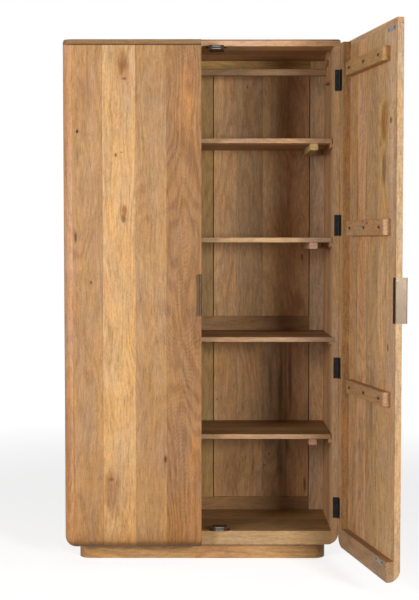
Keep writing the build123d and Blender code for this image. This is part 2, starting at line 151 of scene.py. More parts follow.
class ShaderGraph:
    """A node tree, with one short method for each kind of node."""

    def __init__(self, owner: bpy.types.Material | bpy.types.World) -> None:
        """Empties the node tree.

        Args:
            owner: The material or world that has it.
        """
        owner.use_nodes = True
        self.tree = owner.node_tree
        self.tree.nodes.clear()

    def feed(self, socket: Socket, value: Value) -> None:
        """Links a socket or sets its value.

        Args:
            socket: The input.
            value: Another node's output, or a number, vector or colour.
        """
        if isinstance(value, bpy.types.NodeSocket):
            self.tree.links.new(value, socket)
        elif isinstance(value, tuple) and socket.type == "RGBA":
            socket.default_value = (*value[:3], 1.0)
        else:
            socket.default_value = value

    def add(self, kind: str, *values: Value, **named: Value | str) -> bpy.types.Node:
        """Adds a node.

        Args:
            kind: Its type, without the ShaderNode in front.
            values: What its first inputs get, in order.
            named: Inputs by their names, which start with a capital, and settings.

        Returns:
            The node.
        """
        node = self.tree.nodes.new(f"ShaderNode{kind}")
        for name, value in named.items():
            if name[0].isupper():
                self.feed(node.inputs[name], value)
            else:
                setattr(node, name, value)
        for socket, value in zip(node.inputs, values):
            self.feed(socket, value)
        return node

    def math(self, operation: str, *values: Value, clamp: bool = False) -> Socket:
        """A Math node's result."""
        return self.add("Math", *values, operation=operation, use_clamp=clamp).outputs[0]

    def vector(self, operation: str, *values: Value) -> Socket:
        """A Vector Math node's vector."""
        return self.add("VectorMath", *values, operation=operation).outputs["Vector"]

    def length(self, value: Socket) -> Socket:
        """The length of a vector."""
        return self.add("VectorMath", value, operation="LENGTH").outputs["Value"]

    def split(self, value: Socket) -> dict[str, Socket]:
        """The three parts of a vector by the names of their axes."""
        return dict(zip("XYZ", self.add("SeparateXYZ", value).outputs))

    def join(self, x: Value, y: Value, z: Value) -> Socket:
        """A vector of three parts."""
        return self.add("CombineXYZ", x, y, z).outputs[0]

    def centred(self, value: Socket, width: float) -> Socket:
        """A value from 0 to 1 as one that reaches half a width either side of zero."""
        return self.math("MULTIPLY_ADD", value, width, -width / 2)

    def remap(self, value: Value, low: float, high: float, to_low: float = 0.0,
              to_high: float = 1.0, kind: str = "SMOOTHSTEP") -> Socket:
        """A value carried from one range to another and clamped at its ends."""
        return self.add("MapRange", value, low, high, to_low, to_high,
                        interpolation_type=kind).outputs[0]

    def noise(self, at: Socket, pattern: Noise) -> Socket:
        """A noise pattern's value at a point, 0 to 1."""
        return self.add("TexNoise", self.vector("MULTIPLY", at, pattern.scale), Scale=1.0,
                        Detail=pattern.detail, Roughness=pattern.rough).outputs[0]

    def mix(self, factor: Value, first: Value, second: Value, blend: str = "MIX") -> Socket:
        """Two colours mixed.

        Args:
            factor: The second one's share.
            first, second: The colours.
            blend: How the second is laid over the first.

        Returns:
            The mixed colour.
        """
        node = self.add("Mix", factor, data_type="RGBA", blend_type=blend)
        colours = [socket for socket in node.inputs if socket.type == "RGBA"]
        for socket, colour in zip(colours, (first, second)):
            self.feed(socket, colour)
        return next(socket for socket in node.outputs if socket.type == "RGBA")

    def tint(self, colour: Value, by: Value, amount: Value = 1.0) -> Socket:
        """A colour multiplied by another."""
        return self.mix(amount, colour, by, "MULTIPLY")

    def steps(self, value: Socket, low: float, high: float, starts: list[float],
              colours: list[Colour]) -> Socket:
        """A colour that changes at each start.

        Args:
            value: A place across the range.
            low, high: The range.
            starts: Where each colour starts, in order.
            colours: The colours.

        Returns:
            The colour at the place.
        """
        node = self.add("ValToRGB", self.remap(value, low, high, kind="LINEAR"))
        node.color_ramp.interpolation = "CONSTANT"
        stops = node.color_ramp.elements
        while len(stops) > 1:
            stops.remove(stops[-1])
        for i, (start, colour) in enumerate(zip(starts, colours)):
            place = min(1.0, max(0.0, (start - low) / (high - low)))
            stop = stops[0] if i == 0 else stops.new(place)
            stop.position = place
            stop.color = (*colour, 1.0)
        return node.outputs[0]

    def seen(self) -> Socket:
        """1 where the camera looks, itself or by a reflection, and 0 for light on other things."""
        ray = self.add("LightPath").outputs
        return self.math("MAXIMUM", ray["Is Camera Ray"],
                         self.math("MAXIMUM", ray["Is Glossy Ray"], ray["Is Transmission Ray"]))


class Surface(ShaderGraph):
    """A material's node tree, with a Principled shader on the output."""

    def __init__(self, name: str) -> None:
        """Starts the material.

        Args:
            name: Its name.
        """
        self.material = bpy.data.materials.new(name)
        super().__init__(self.material)
        self.shader = self.add("BsdfPrincipled")
        self.output = self.add("OutputMaterial", self.shader.outputs[0])

    def give(self, values: dict[str, Value]) -> None:
        """Feeds the shader's inputs by their names."""
        for name, value in values.items():
            self.feed(self.shader.inputs[name], value)

    def bump(self, height: Socket, distance: float, strength: float = 1.0) -> None:
        """Lets a height roughen the shader's normal; at 1 it stands out by the distance."""
        node = self.add("Bump", Strength=strength, Distance=distance, Height=height)
        self.give({"Normal": node.outputs[0]})


# Wood ---------------------------------------
WANDER = Noise((4.0, 4.0, 1.4))
WANDER_FINE = Noise((20.0, 20.0, 6.0))
CLOUDS = Noise((11.0, 11.0, 3.0), 5.0, 0.62)
FIBRES = Noise((300.0, 300.0, 26.0), 2.0, 0.6)
PORES = Noise((620.0, 620.0, 42.0), 1.0)
MOTTLE = Noise((40.0, 40.0, 12.0), 4.0, 0.65)
STREAKS = Noise((135.0, 135.0, 6.0), 3.0, 0.6)
FLECKS = Noise((95.0, 95.0, 34.0), 3.0, 0.7)
SPECKS = Noise((150.0, 150.0, 105.0), 2.0, 0.7)
RING_FIELD = Noise((6.5, 6.5, 1.3), 2.0, 0.4)
CURL_WEAVE = Noise((1.0, 1.0, 2.6))
CURL_SWERVE = Noise((9.0, 9.0, 6.0))
CURL_SWERVE_FINE = Noise((34.0, 34.0, 16.0))
CURL_PATCHES = Noise((14.0, 14.0, 6.0), 3.0)
WARMTH = Noise((15.0, 15.0, 4.0), 3.0, 0.6)
ROSE = Noise((27.0, 27.0, 8.0), 3.0, 0.6)
ROSE_OFFSET: Place = (7.3, 2.9, 5.1)
WARMTH_TINTS = ((0.94, 1.0, 1.20), (1.07, 0.995, 0.80))
ROSE_TINTS = ((0.982, 1.02, 0.97), (1.018, 0.98, 1.03))

# the range that a value comes from, and the one it is carried to where that isn't 0 to 1
PORE_RANGE = (0.60, 0.74)
RING_RANGE = (-0.5, 1.0, -0.4, 0.6)
CURL_RANGE = (-0.4, 1.0, -0.4, 0.6)
CURL_PATCH_RANGE = (0.42, 0.60, 0.05, 1.0)
HUE_RANGE = (0.3, 0.7)
END_RANGE = (0.55, 0.9)
# where painted shade falls: faces that look up, faces that look down, and the rounded edge below a top
UPPER_SHADE_RANGE = (0.35, 0.85)
UNDER_SHADE_RANGE = (-0.15, -0.75)
ARRIS_SHADE_RANGES = ((0.15, 0.45), (0.995, 0.93))

GLUE_TINT: Colour = (0.36, 0.29, 0.23)
END_TINT: Colour = (0.55, 0.47, 0.40)
# painted shade on the rounded edge below a face that looks up
ARRIS_SHADE_TINT: Colour = (0.36, 0.27, 0.20)
STAVE_SHIFT = 40.0      # how far apart two staves may lie in the tree
DEPTH_SKEW = 1.7        # how much farther apart along the grain
MARK_CELLS = 0.7        # noise cells in half a mark
BOARD_STAVES = 4
MEAN_FIGURE = 0.4       # the arches' strength in a board's staves
FIGURE_SPREAD = (0.4, 1.5)
WIDTH_SPREAD = (0.8, 1.2)
FIBRE_RELIEF = 0.35     # how far a fibre stands out beside a pore's depth
JOINT_CORE = 0.2        # the fully dark share of a glue line


@dataclass(frozen=True)
class Stave:
    """One strip of wood in a glued board.

    start is where it begins across the board.  figure is how strong the long
    arches are and curl how strong the short nested ones; heart and crown are
    where those are centred, across and along.
    """

    start: float
    colour: Colour
    figure: float = 0.35
    heart: float = 0.0
    crown: float = 0.6
    curl: float = 0.0


@dataclass(frozen=True)
class Mark:
    """A knot, stain, paler field, painted shade or painted highlight: where it lies, its half sizes
    and its tint.
    """

    across: float
    along: float
    half_width: float
    half_length: float
    colour: Colour
    strength: float = 0.8
    soft: float = 0.7
    ragged: float = 0.5
    through: float = 0.0
    half_through: float = 0.0      # 0 lets the mark run right through


@dataclass(frozen=True)
class WoodFinish:
    """Oiled mango wood.  The amounts are how far each pattern darkens the wood."""

    light: Colour = (1.28, 1.29, 1.27)
    dark: Colour = (0.47, 0.39, 0.31)
    mean: float = 0.33
    clouds: float = 0.60
    mottle: float = 0.32
    streaks: float = 0.55
    flecks: float = 0.42
    specks: float = 0.48
    fibres: float = 1.0
    rings: float = 0.38
    ring_lines: float = 19.0
    pores: float = 0.22
    wander: float = 0.08           # how far the grain strays, in metres
    wander_fine: float = 0.014
    curl_gap: float = 0.0155
    curl_bow: float = 36.0
    curl_reach: float = 0.45       # how far from the crown the arcs bow fully
    curl_weave: float = 0.16       # how far they stray across, in metres
    curl_swerve: float = 24.0      # how far they stray along, as a phase
    curl_swerve_fine: float = 8.0
    joint: float = 0.30
    joint_width: float = 0.0013
    joint_sink: float = 1.5
    # painted shade: upper darkens faces that look up, under faces that look down, arris the rounded
    # edge below a top
    upper: Colour = (0.80, 0.77, 0.72)
    under: Colour = (0.90, 0.88, 0.86)
    arris: float = 0.0
    end_grain: float = 0.3
    roughness: float = 0.55
    roughness_width: float = 0.16
    specular: float = 0.3
    relief: float = 0.00035
    relief_strength: float = 0.55


OILED = WoodFinish()
# the darker upper tints of shelves, floor and top board, the top's arris and the doors' under tint are
# painted shade
SHELF_WOOD = replace(OILED, joint=0.15, upper=(0.53, 0.54, 0.46))
FLOOR_WOOD = replace(OILED, upper=(0.62, 0.64, 0.52))
TOP_WOOD = replace(OILED, joint=0.15, upper=(0.90, 0.88, 0.85), arris=0.75)
BATTEN_WOOD = replace(OILED, end_grain=0.0)
DOOR_WOOD = replace(OILED, under=(0.62, 0.54, 0.46))
INNER_WOOD = replace(DOOR_WOOD, flecks=0.7, mottle=0.6, streaks=0.75, specks=0.9)

HONEY = srgb(196, 152, 108)
FAWN = srgb(186, 144, 102)
RUSSET = srgb(190, 140, 98)
STRAW = srgb(208, 164, 118)
UMBER = srgb(172, 130, 92)
PALETTE: Tones = (HONEY, FAWN, RUSSET, STRAW, UMBER)


def strips(low: float, high: float, tones: Sequence[Colour], seed: int) -> list[Stave]:
    """Staves of uneven width that fill a board.

    Args:
        low, high: The board's edges across the grain.
        tones: The colour of each stave, in order.
        seed: Fixes the widths and the figure.

    Returns:
        The staves in order.
    """
    dice = random.Random(seed)
    shares = [dice.uniform(*WIDTH_SPREAD) for _ in tones]
    staves, start = [], low
    for tone, share in zip(tones, shares):
        width = (high - low) * share / sum(shares)
        figure = MEAN_FIGURE * dice.uniform(*FIGURE_SPREAD)
        staves.append(Stave(start, tone, figure, start + width / 2))
        start += width
    return staves


def mixed(count: int, seed: int) -> list[Colour]:
    """Colours drawn from the palette with no two neighbours alike.

    Args:
        count: How many.
        seed: Fixes the draw.

    Returns:
        The colours in order.
    """
    dice = random.Random(seed)
    tones: list[Colour] = []
    for _ in range(count):
        tones.append(dice.choice([c for c in PALETTE if not tones or c != tones[-1]]))
    return tones


def edged(low: float, high: float, edge: Colour, depth: float, seed: int) -> list[Stave]:
    """The staves of a board whose front edge has a tone of its own down to a depth."""
    return [Stave(low, edge)] + strips(low + depth, high, mixed(BOARD_STAVES, seed), seed)


@dataclass
class GrainSpace:
    """A surface point as the wood sees it."""

    across: Socket
    through: Socket
    along: Socket
    ends: Socket          # 1 on end grain
    # upper, under and arris mark where painted shade goes: faces that look up, faces that look down,
    # the rounded edge below a top
    upper: Socket         # 1 on faces that look up
    under: Socket         # 1 on faces that look down
    arris: Socket         # 1 on the rounded edge below a face that looks up


@dataclass
class Wood:
    """The wood of one node: how its grain runs, its strips and its marks.

    low and high are the node's edges across the grain.  swing and pivot undo
    the turn of an open door, so that its strips lie as on a shut one.
    """

    grain: Grain
    staves: Sequence[Stave]
    low: float
    high: float
    seed: int = 0
    marks: Sequence[Mark] = ()
    finish: WoodFinish = OILED
    swing: float = 0.0
    pivot: Pair = (0.0, 0.0)

    def lay_on(self, node: str) -> None:
        """Dresses a node with the wood."""
        dress(node, WoodSurface(f"wood_{node}", self).material)


class WoodSurface(Surface):
    """The node tree of one board's wood.

    at is the surface point, own that point in the tree that its stave comes
    from, and flow the same with the grain straying.
    """

    def __init__(self, name: str, wood: Wood) -> None:
        """Builds the material.

        Args:
            name: Its name.
            wood: What the board is made of.
        """
        super().__init__(name)
        self.wood, self.finish = wood, wood.finish
        finish = self.finish
        self.at = at = self._grain_space()
        dice = random.Random(wood.seed)
        shift = self._each([dice.uniform(0, STAVE_SHIFT) for _ in wood.staves])
        self.own = self.vector("ADD", self.join(at.across, at.through, at.along),
                               self.join(shift, shift, self.math("MULTIPLY", shift, DEPTH_SKEW)))
        self.bent = self.math("ADD", self.centred(self.noise(self.own, WANDER), finish.wander),
                              self.centred(self.noise(self.own, WANDER_FINE), finish.wander_fine))
        self.flow = self.vector("ADD", self.own, self.join(self.bent, 0.0, 0.0))
        depth, clouds, relief = self._depth()
        base = self.steps(at.across, wood.low, wood.high, [s.start for s in wood.staves],
                          [s.colour for s in wood.staves])
        colour = self._hue(self.tint(base, self.mix(depth, finish.light, finish.dark)))
        # each mark tints the wood: knots, stains and fields, and in places painted shade or a painted
        # highlight
        for mark in wood.marks:
            colour = self.tint(colour, mark.colour, self._cover(mark))
        if len(wood.staves) > 1:
            joint = self._joint_lines()
            colour = self.tint(colour, GLUE_TINT, self.math("MULTIPLY", joint, finish.joint))
            relief = self.math("SUBTRACT", relief, self.math("MULTIPLY", joint, finish.joint_sink))
        # end grain darkens as oiled wood does; the upper, under and arris tints are painted shade
        for by, amount in ((END_TINT, self.math("MULTIPLY", at.ends, finish.end_grain)),
                           (finish.upper, at.upper), (finish.under, at.under)):
            colour = self.tint(colour, by, amount)
        if finish.arris:
            colour = self.tint(colour, ARRIS_SHADE_TINT, self.math("MULTIPLY", at.arris, finish.arris))
        rough = self.math("MULTIPLY_ADD", clouds, finish.roughness_width,
                          finish.roughness - finish.roughness_width / 2)
        self.give({"Base Color": colour, "Roughness": rough, "Specular IOR Level": finish.specular})
        self.bump(relief, finish.relief, finish.relief_strength)

    def _each(self, values: list[float]) -> Socket:
        """A number that changes from stave to stave.

        Args:
            values: The number of each stave.

        Returns:
            The number at the point.
        """
        low, high = min(values), max(values)
        reach = (high - low) or 1.0
        grey = [((v - low) / reach,) * 3 for v in values]
        chosen = self.steps(self.at.across, self.wood.low, self.wood.high,
                            [s.start for s in self.wood.staves], grey)
        return self.math("MULTIPLY_ADD", chosen, reach, low)

    def _depth(self) -> tuple[Socket, Socket, Socket]:
        """How dark the wood is.

        Returns:
            The depth, the slow clouds in it, and the relief of fibres and pores.
        """
        finish, flow = self.finish, self.flow
        clouds, fibres = self.noise(flow, CLOUDS), self.noise(flow, FIBRES)
        pores = self.remap(self.noise(flow, PORES), *PORE_RANGE)
        layers = [(clouds, finish.clouds), (fibres, finish.fibres)]
        layers += [(self.noise(flow, pattern), amount) for pattern, amount in (
            (MOTTLE, finish.mottle), (STREAKS, finish.streaks), (FLECKS, finish.flecks),
            (SPECKS, finish.specks))]
        total: Value = finish.mean - 0.5 * sum(amount for _, amount in layers)
        for layer, amount in (*layers, (pores, finish.pores)):
            total = self.math("MULTIPLY_ADD", layer, amount, total)
        total = self.math("ADD", total, self._arches())
        if any(s.curl for s in self.wood.staves):
            total = self.math("ADD", total, self._curls())
        relief = self.math("SUBTRACT", self.math("MULTIPLY", fibres, FIBRE_RELIEF), pores)
        return self.math("ADD", total, 0.0, clamp=True), clouds, relief

    def _arches(self) -> Socket:
        """Growth rings: the contour lines of a slow field, drawn out along the grain.

        Returns:
            How far the rings darken the wood.
        """
        turn = self.math("MULTIPLY", self.noise(self.flow, RING_FIELD),
                         2 * math.pi * self.finish.ring_lines)
        rings = self.remap(self.math("SINE", turn), *RING_RANGE)
        strength = self._each([s.figure * self.finish.rings for s in self.wood.staves])
        return self.math("MULTIPLY", rings, strength)

    def _curls(self) -> Socket:
        """Short nested arcs that open upwards above the crown and downwards below it.

        Returns:
            How far the arcs darken the wood.
        """
        finish, at, own, staves = self.finish, self.at, self.own, self.wood.staves
        weave = self.centred(self.noise(own, CURL_WEAVE), finish.curl_weave)
        heart = self.math("SUBTRACT", self.math("ADD", at.across, self.math("ADD", self.bent, weave)),
                          self._each([s.heart for s in staves]))
        rise = self.math("SUBTRACT", at.along, self._each([s.crown for s in staves]))
        bow = self.remap(rise, -finish.curl_reach, finish.curl_reach, finish.curl_bow,
                         -finish.curl_bow)
        crest = self.math("MULTIPLY_ADD", self.math("MULTIPLY", heart, heart), bow, at.along)
        swerve = self.math("MULTIPLY", self.noise(own, CURL_SWERVE), finish.curl_swerve)
        turn = self.math("MULTIPLY_ADD", crest, 2 * math.pi / finish.curl_gap, swerve)
        turn = self.math("MULTIPLY_ADD", self.noise(own, CURL_SWERVE_FINE),
                         finish.curl_swerve_fine, turn)
        arcs = self.remap(self.math("SINE", turn), *CURL_RANGE)
        patch = self.remap(self.noise(own, CURL_PATCHES), *CURL_PATCH_RANGE)
        strength = self._each([s.curl for s in staves])
        return self.math("MULTIPLY", arcs, self.math("MULTIPLY", strength, patch))

    def _hue(self, colour: Socket) -> Socket:
        """A colour with golden, grey and rosy fields in it.

        Args:
            colour: The colour.

        Returns:
            The new colour.
        """
        elsewhere = self.vector("ADD", self.own, ROSE_OFFSET)
        for at, pattern, tints in ((self.own, WARMTH, WARMTH_TINTS), (elsewhere, ROSE, ROSE_TINTS)):
            share = self.remap(self.noise(at, pattern), *HUE_RANGE, kind="LINEAR")
            colour = self.tint(colour, self.mix(share, *tints))
        return colour

    def _grain_space(self) -> GrainSpace:
        """The point across, through and along the grain, and which way its face looks.

        Returns:
            The point.
        """
        coords = self.add("TexCoord").outputs
        place, normal = coords["Object"], coords["Normal"]
        if self.wood.swing:
            # the point turns and shifts about the hinge line; the normal takes the turn alone
            pivot = Vector((*self.wood.pivot, 0.0))
            shift = pivot - Matrix.Rotation(-self.wood.swing, 3, "Z") @ pivot
            place, normal = (self.add("Mapping", value, shift, (0.0, 0.0, -self.wood.swing),
                                      vector_type=kind).outputs[0]
                             for value, kind in ((place, "POINT"), (normal, "NORMAL")))
        parts, facing = self.split(place), self.split(normal)
        across, through, along = self.wood.grain.value
        tilt = facing["Z"]
        return GrainSpace(
            parts[across], parts[through], parts[along],
            ends=self.remap(self.math("ABSOLUTE", facing[along]), *END_RANGE),
            upper=self.remap(tilt, *UPPER_SHADE_RANGE), under=self.remap(tilt, *UNDER_SHADE_RANGE),
            arris=self.math("MULTIPLY", *(self.remap(tilt, *span) for span in ARRIS_SHADE_RANGES)))

    def _joint_lines(self) -> Socket:
        """1 on the glue lines between staves and 0 elsewhere.

        Returns:
            That number.
        """
        gaps = [self.math("ABSOLUTE", self.math("SUBTRACT", self.at.across, stave.start))
                for stave in self.wood.staves[1:]]
        nearest = gaps[0]
        for gap in gaps[1:]:
            nearest = self.math("MINIMUM", nearest, gap)
        return self.remap(nearest, self.finish.joint_width, self.finish.joint_width * JOINT_CORE)

    def _cover(self, mark: Mark) -> Socket:
        """How much of a mark shows.

        Args:
            mark: The mark.

        Returns:
            Its strength inside it, fading to 0 over its soft and ragged edge.
        """

        def away(value: Socket, middle: float, half: float) -> Socket:
            """How far a value lies from the middle, in half sizes."""
            return self.math("DIVIDE", self.math("SUBTRACT", value, middle), half)

        dx = away(self.at.across, mark.across, mark.half_width)
        dz = away(self.at.along, mark.along, mark.half_length)
        dy = away(self.at.through, mark.through, mark.half_through) if mark.half_through else 0.0
        cells = MARK_CELLS / mark.half_width
        rag = self.noise(self.own, Noise((cells, cells, MARK_CELLS / mark.half_length), 3.0))
        edge = self.math("ADD", self.length(self.join(dx, dz, dy)),
                         self.centred(rag, mark.ragged * 2))
        return self.remap(edge, 1.0, 1.0 - mark.soft, 0.0, mark.strength)


# Metals and plastic ---------------------------------------
WEAR = Noise((38.0, 38.0, 38.0), 4.0, 0.6)
PITS = Noise((420.0, 420.0, 420.0))
PIT_TINT: Colour = (0.6, 0.6, 0.6)
PIT_SHARE = 0.4
PIT_RANGE = (0.55, 0.7)
RUB_RANGE = (0.45, 0.75, 0.0, 0.6)
BRUSH_SHARE = 0.3       # how far the brushing alone rubs a metal


@dataclass(frozen=True)
class MetalFinish:
    """A worn metal or plastic: its colour, its rubbed colour and how rough it is."""

    name: str
    colour: Colour
    worn: Colour
    metallic: float
    roughness: float
    brushed: Place = (40.0, 40.0, 400.0)
    bump: float = 0.0001
    specular: float = 0.5
    rough_width: float = 0.25
    rough_below: float = 0.12

    def material(self) -> bpy.types.Material:
        """The metal's procedural material.

        Returns:
            The material.
        """
        g = Surface(self.name)
        at = g.add("TexCoord").outputs["Object"]
        wear = g.noise(at, WEAR)
        brush = g.noise(at, Noise(self.brushed))
        pits = g.remap(g.noise(at, PITS), *PIT_RANGE)
        rubbed = g.math("ADD", g.remap(wear, *RUB_RANGE), g.math("MULTIPLY", brush, BRUSH_SHARE),
                        clamp=True)
        colour = g.tint(g.mix(rubbed, self.colour, self.worn), PIT_TINT,
                        g.math("MULTIPLY", pits, PIT_SHARE))
        rough = g.math("MULTIPLY_ADD", wear, self.rough_width, self.roughness - self.rough_below)
        g.give({"Base Color": colour, "Metallic": self.metallic, "Roughness": rough,
                "Specular IOR Level": self.specular})
        g.bump(g.math("ADD", brush, pits), self.bump)
        return g.material


HINGE_BLACK = MetalFinish("hinge_black", srgb(14, 14, 15), srgb(30, 29, 28), 0.0, 0.5,
                          specular=0.25)
PULL_BRONZE = MetalFinish("pull_bronze", srgb(74, 64, 54), srgb(81, 71, 60), 1.0, 0.32,
                          (30.0, 30.0, 300.0))
STRIKE_STEEL = MetalFinish("strike_steel", srgb(128, 126, 122), srgb(176, 174, 170), 0.85, 0.4)
POLE_STEEL = MetalFinish("pole_steel", srgb(176, 168, 158), srgb(206, 200, 192), 0.9, 0.35)
MAGNET_DARK = MetalFinish("magnet_dark", srgb(30, 24, 22), srgb(48, 42, 38), 0.1, 0.6,
                          specular=0.25)
CATCH_BROWN = MetalFinish("catch_brown", srgb(58, 38, 26), srgb(74, 52, 38), 0.0, 0.6,
                          (60.0, 60.0, 60.0), specular=0.2)
SCREW_DARK = MetalFinish("screw_dark", srgb(30, 26, 24), srgb(64, 58, 52), 0.5, 0.45)


def dress(node: str, material: bpy.types.Material) -> None:
    """Gives a CAD node one material on every slot.

    Args:
        node: The CAD node.
        material: The material.
    """
    slots = frame["nodes"][node].data.materials
    if not slots:
        slots.append(material)
    for i in range(len(slots)):
        slots[i] = material
    log.info("dressed %s with %s", node, material.name)


def lay_wood(node: str, grain: Grain, tones: Sequence[Colour], seed: int,
             marks: Sequence[Mark] = (), finish: WoodFinish = OILED) -> None:
    """Dresses a node that stands square in the frame with strips of wood.

    Args:
        node: The CAD node.
        grain: How its grain runs.
        tones: The colour of each strip, in order across the grain.
        seed: Fixes the strips' widths and figure.
        marks: Knots and fields on it.
        finish: How the wood is finished.
    """
    low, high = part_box(node)
    axis = "XYZ".index(grain.value[0])
    ends = low[axis], high[axis]
    Wood(grain, strips(*ends, tones, seed), *ends, seed, marks, finish).lay_on(node)


# Screws ---------------------------------------
HEAD_SIDES = 20
HEAD_TAPER = 0.86      # the top's radius as a share of the head's
HEAD_RIM = 0.22        # the rim's width as a share of the radius
HEAD_RAISE = 0.12      # how far the top stands over the rim, as a share of the height
CROSS_HALF = 0.11      # half the width of the cross as a share of the radius
CROSS_ARM = 0.42       # the length of its arms as a share of the radius
CROSS_SINK = 0.6       # its depth as a share of the height
LEVEL_SLACK = 1e-3     # how far below the top a vertex still counts as on it


@dataclass(frozen=True)
class Screw:
    """A countersunk cross-head screw: the radius and height of what shows of it."""

    radius: float
    height: float

    def add_to(self, shape: bmesh.types.BMesh, place: Place, facing: Place) -> None:
        """Adds one head to a mesh.

        Args:
            shape: The mesh that takes it.
            place: The middle of its seat.
            facing: The way its head looks.
        """
        head = bmesh.new()
        bmesh.ops.create_cone(head, cap_ends=True, segments=HEAD_SIDES, radius1=self.radius,
                              radius2=self.radius * HEAD_TAPER, depth=self.height)
        top = max(head.faces, key=lambda f: f.calc_center_median().z)
        bmesh.ops.inset_region(head, faces=[top], thickness=self.radius * HEAD_RIM,
                               depth=self.height * HEAD_RAISE)
        self._cut_cross(head)
        turn = Vector(facing).to_track_quat("Z", "Y").to_matrix().to_4x4()
        rise = Matrix.Translation((0.0, 0.0, self.height / 2))
        bmesh.ops.transform(head, matrix=Matrix.Translation(place) @ turn @ rise,
                            verts=head.verts)
        bmesh.ops.recalc_face_normals(head, faces=head.faces)
        mesh = mesh_of("screw_head", head)
        shape.from_mesh(mesh)
        bpy.data.meshes.remove(mesh)

    def _cut_cross(self, head: bmesh.types.BMesh) -> None:
        """Sinks a cross into the top of a head.

        Args:
            head: The head, upright round the origin.
        """
        width, arm = self.radius * CROSS_HALF, self.radius * CROSS_ARM
        level = max(v.co.z for v in head.verts) - self.radius * LEVEL_SLACK
        for axis in (Vector((1.0, 0.0, 0.0)), Vector((0.0, 1.0, 0.0))):
            for cut in (-arm, -width, width, arm):
                top = [f for f in head.faces if all(v.co.z > level for v in f.verts)]
                edges = {e for f in top for e in f.edges}
                verts = {v for f in top for v in f.verts}
                bmesh.ops.bisect_plane(head, geom=top + list(edges) + list(verts),
                                       plane_co=axis * cut, plane_no=axis)
        cross = []
        for face in head.faces:
            middle = face.calc_center_median()
            near, far = sorted((abs(middle.x), abs(middle.y)))
            if middle.z > level and near < width and far < arm:
                cross.append(face)
        sunk = bmesh.ops.extrude_face_region(head, geom=cross)["geom"]
        verts = [v for v in sunk if isinstance(v, bmesh.types.BMVert)]
        bmesh.ops.translate(head, verts=verts, vec=(0.0, 0.0, -self.height * CROSS_SINK))


@dataclass
class ScrewGroup:
    """All the screws that one body carries."""

    name: str
    body: str
    slot: str
    turn: Matrix = field(default_factory=lambda: Matrix.Identity(4))
    shape: bmesh.types.BMesh = field(default_factory=bmesh.new)
    count: int = 0

    def drive(self, screw: Screw, places: Iterable[Place], facing: Place) -> None:
        """Adds a screw at each place.

        Args:
            screw: The kind of screw.
            places: The middles of the seats, as on the shut cabinet.
            facing: The way the heads look.
        """
        for place in places:
            screw.add_to(self.shape, place, facing)
            self.count += 1

    def finish(self, material: bpy.types.Material) -> None:
        """Makes the group's piece and lets it ride on its body.

        Args:
            material: The screws' metal.
        """
        bmesh.ops.transform(self.shape, matrix=self.turn, verts=self.shape.verts)
        mesh = mesh_of(self.name, self.shape)
        mesh.materials.append(material)
        piece = placed(self.name, mesh)
        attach(piece, self.body)
        log.info("made %s: %d screws on %s", self.name, self.count, self.body)


# Sub-assemblies ---------------------------------------
@dataclass
class Case:
    """Top, sides, sill, floor, strips and plinth."""

    top_seed: int = 11
    edge_depth: float = 0.006      # the pale front edge of the top board
    edge_tone: Colour = srgb(206, 164, 126)
    # painted shade along the top board's upper front arris, and a painted highlight on the front face
    # just below it
    edge_marks: tuple[Mark, ...] = (
        Mark(-0.195, 0.0, 0.006, 2.0, (0.45, 0.39, 0.34), 0.9, 0.7, 0.2, 1.9008, 0.0026),
        Mark(-0.195, 0.0, 0.006, 2.0, (1.14, 1.14, 1.14), 0.9, 0.7, 0.3, 1.8945, 0.003),
    )
    side_tones: Tones = (srgb(196, 158, 118), UMBER, FAWN, RUSSET)
    floor_tones: Tones = (FAWN, UMBER, HONEY, FAWN)
    sill_tone: Colour = srgb(186, 150, 106)
    plinth_tone: Colour = srgb(196, 150, 100)
    plinth_end_tone: Colour = srgb(180, 138, 94)
    plinth_marks: tuple[Mark, ...] = (
        Mark(0.035, -0.445, 0.08, 0.08, (0.68, 0.63, 0.7), 0.9, 0.9, 0.4),
        Mark(0.06, -0.05, 0.01, 0.4, (1.1, 1.08, 1.04), 0.8, 0.9, 0.6),
    )

    def dress_boards(self) -> None:
        """Gives each board of the case its own wood."""
        low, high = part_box("top_board")
        staves = edged(low.y, high.y, self.edge_tone, self.edge_depth, self.top_seed)
        top = Wood(Grain.LEVEL_FLAT, staves, low.y, high.y, self.top_seed, self.edge_marks,
                   TOP_WOOD)
        top.lay_on("top_board")
        for side in Side:
            lay_wood(f"side_{side.word}", Grain.UPRIGHT_SIDE, self.side_tones, 20 + side.value)
        lay_wood("front_sill", Grain.LEVEL_FACE, (self.sill_tone,), 31)
        lay_wood("floor_board", Grain.LEVEL_FLAT, self.floor_tones, 33, finish=FLOOR_WOOD)
        lay_wood("base_strips", Grain.LEVEL_FLAT, (UMBER, FAWN), 35)
        for i, end in enumerate(("front", "back")):
            lay_wood(f"plinth_{end}", Grain.LEVEL_FACE, (self.plinth_tone,), 40 + i,
                     self.plinth_marks)
        for i, part in enumerate(("left", "right", "brace")):
            lay_wood(f"plinth_{part}", Grain.DEEP, (self.plinth_end_tone,), 44 + i)


KNOT_BLACK: Colour = (0.14, 0.10, 0.09)
KNOT_BROWN: Colour = (0.34, 0.24, 0.18)
PALE: Colour = (1.16, 1.16, 1.14)
# painted shade in the gaps beside the back panels
GAP_SHADE_TINT: Colour = (0.34, 0.26, 0.20)

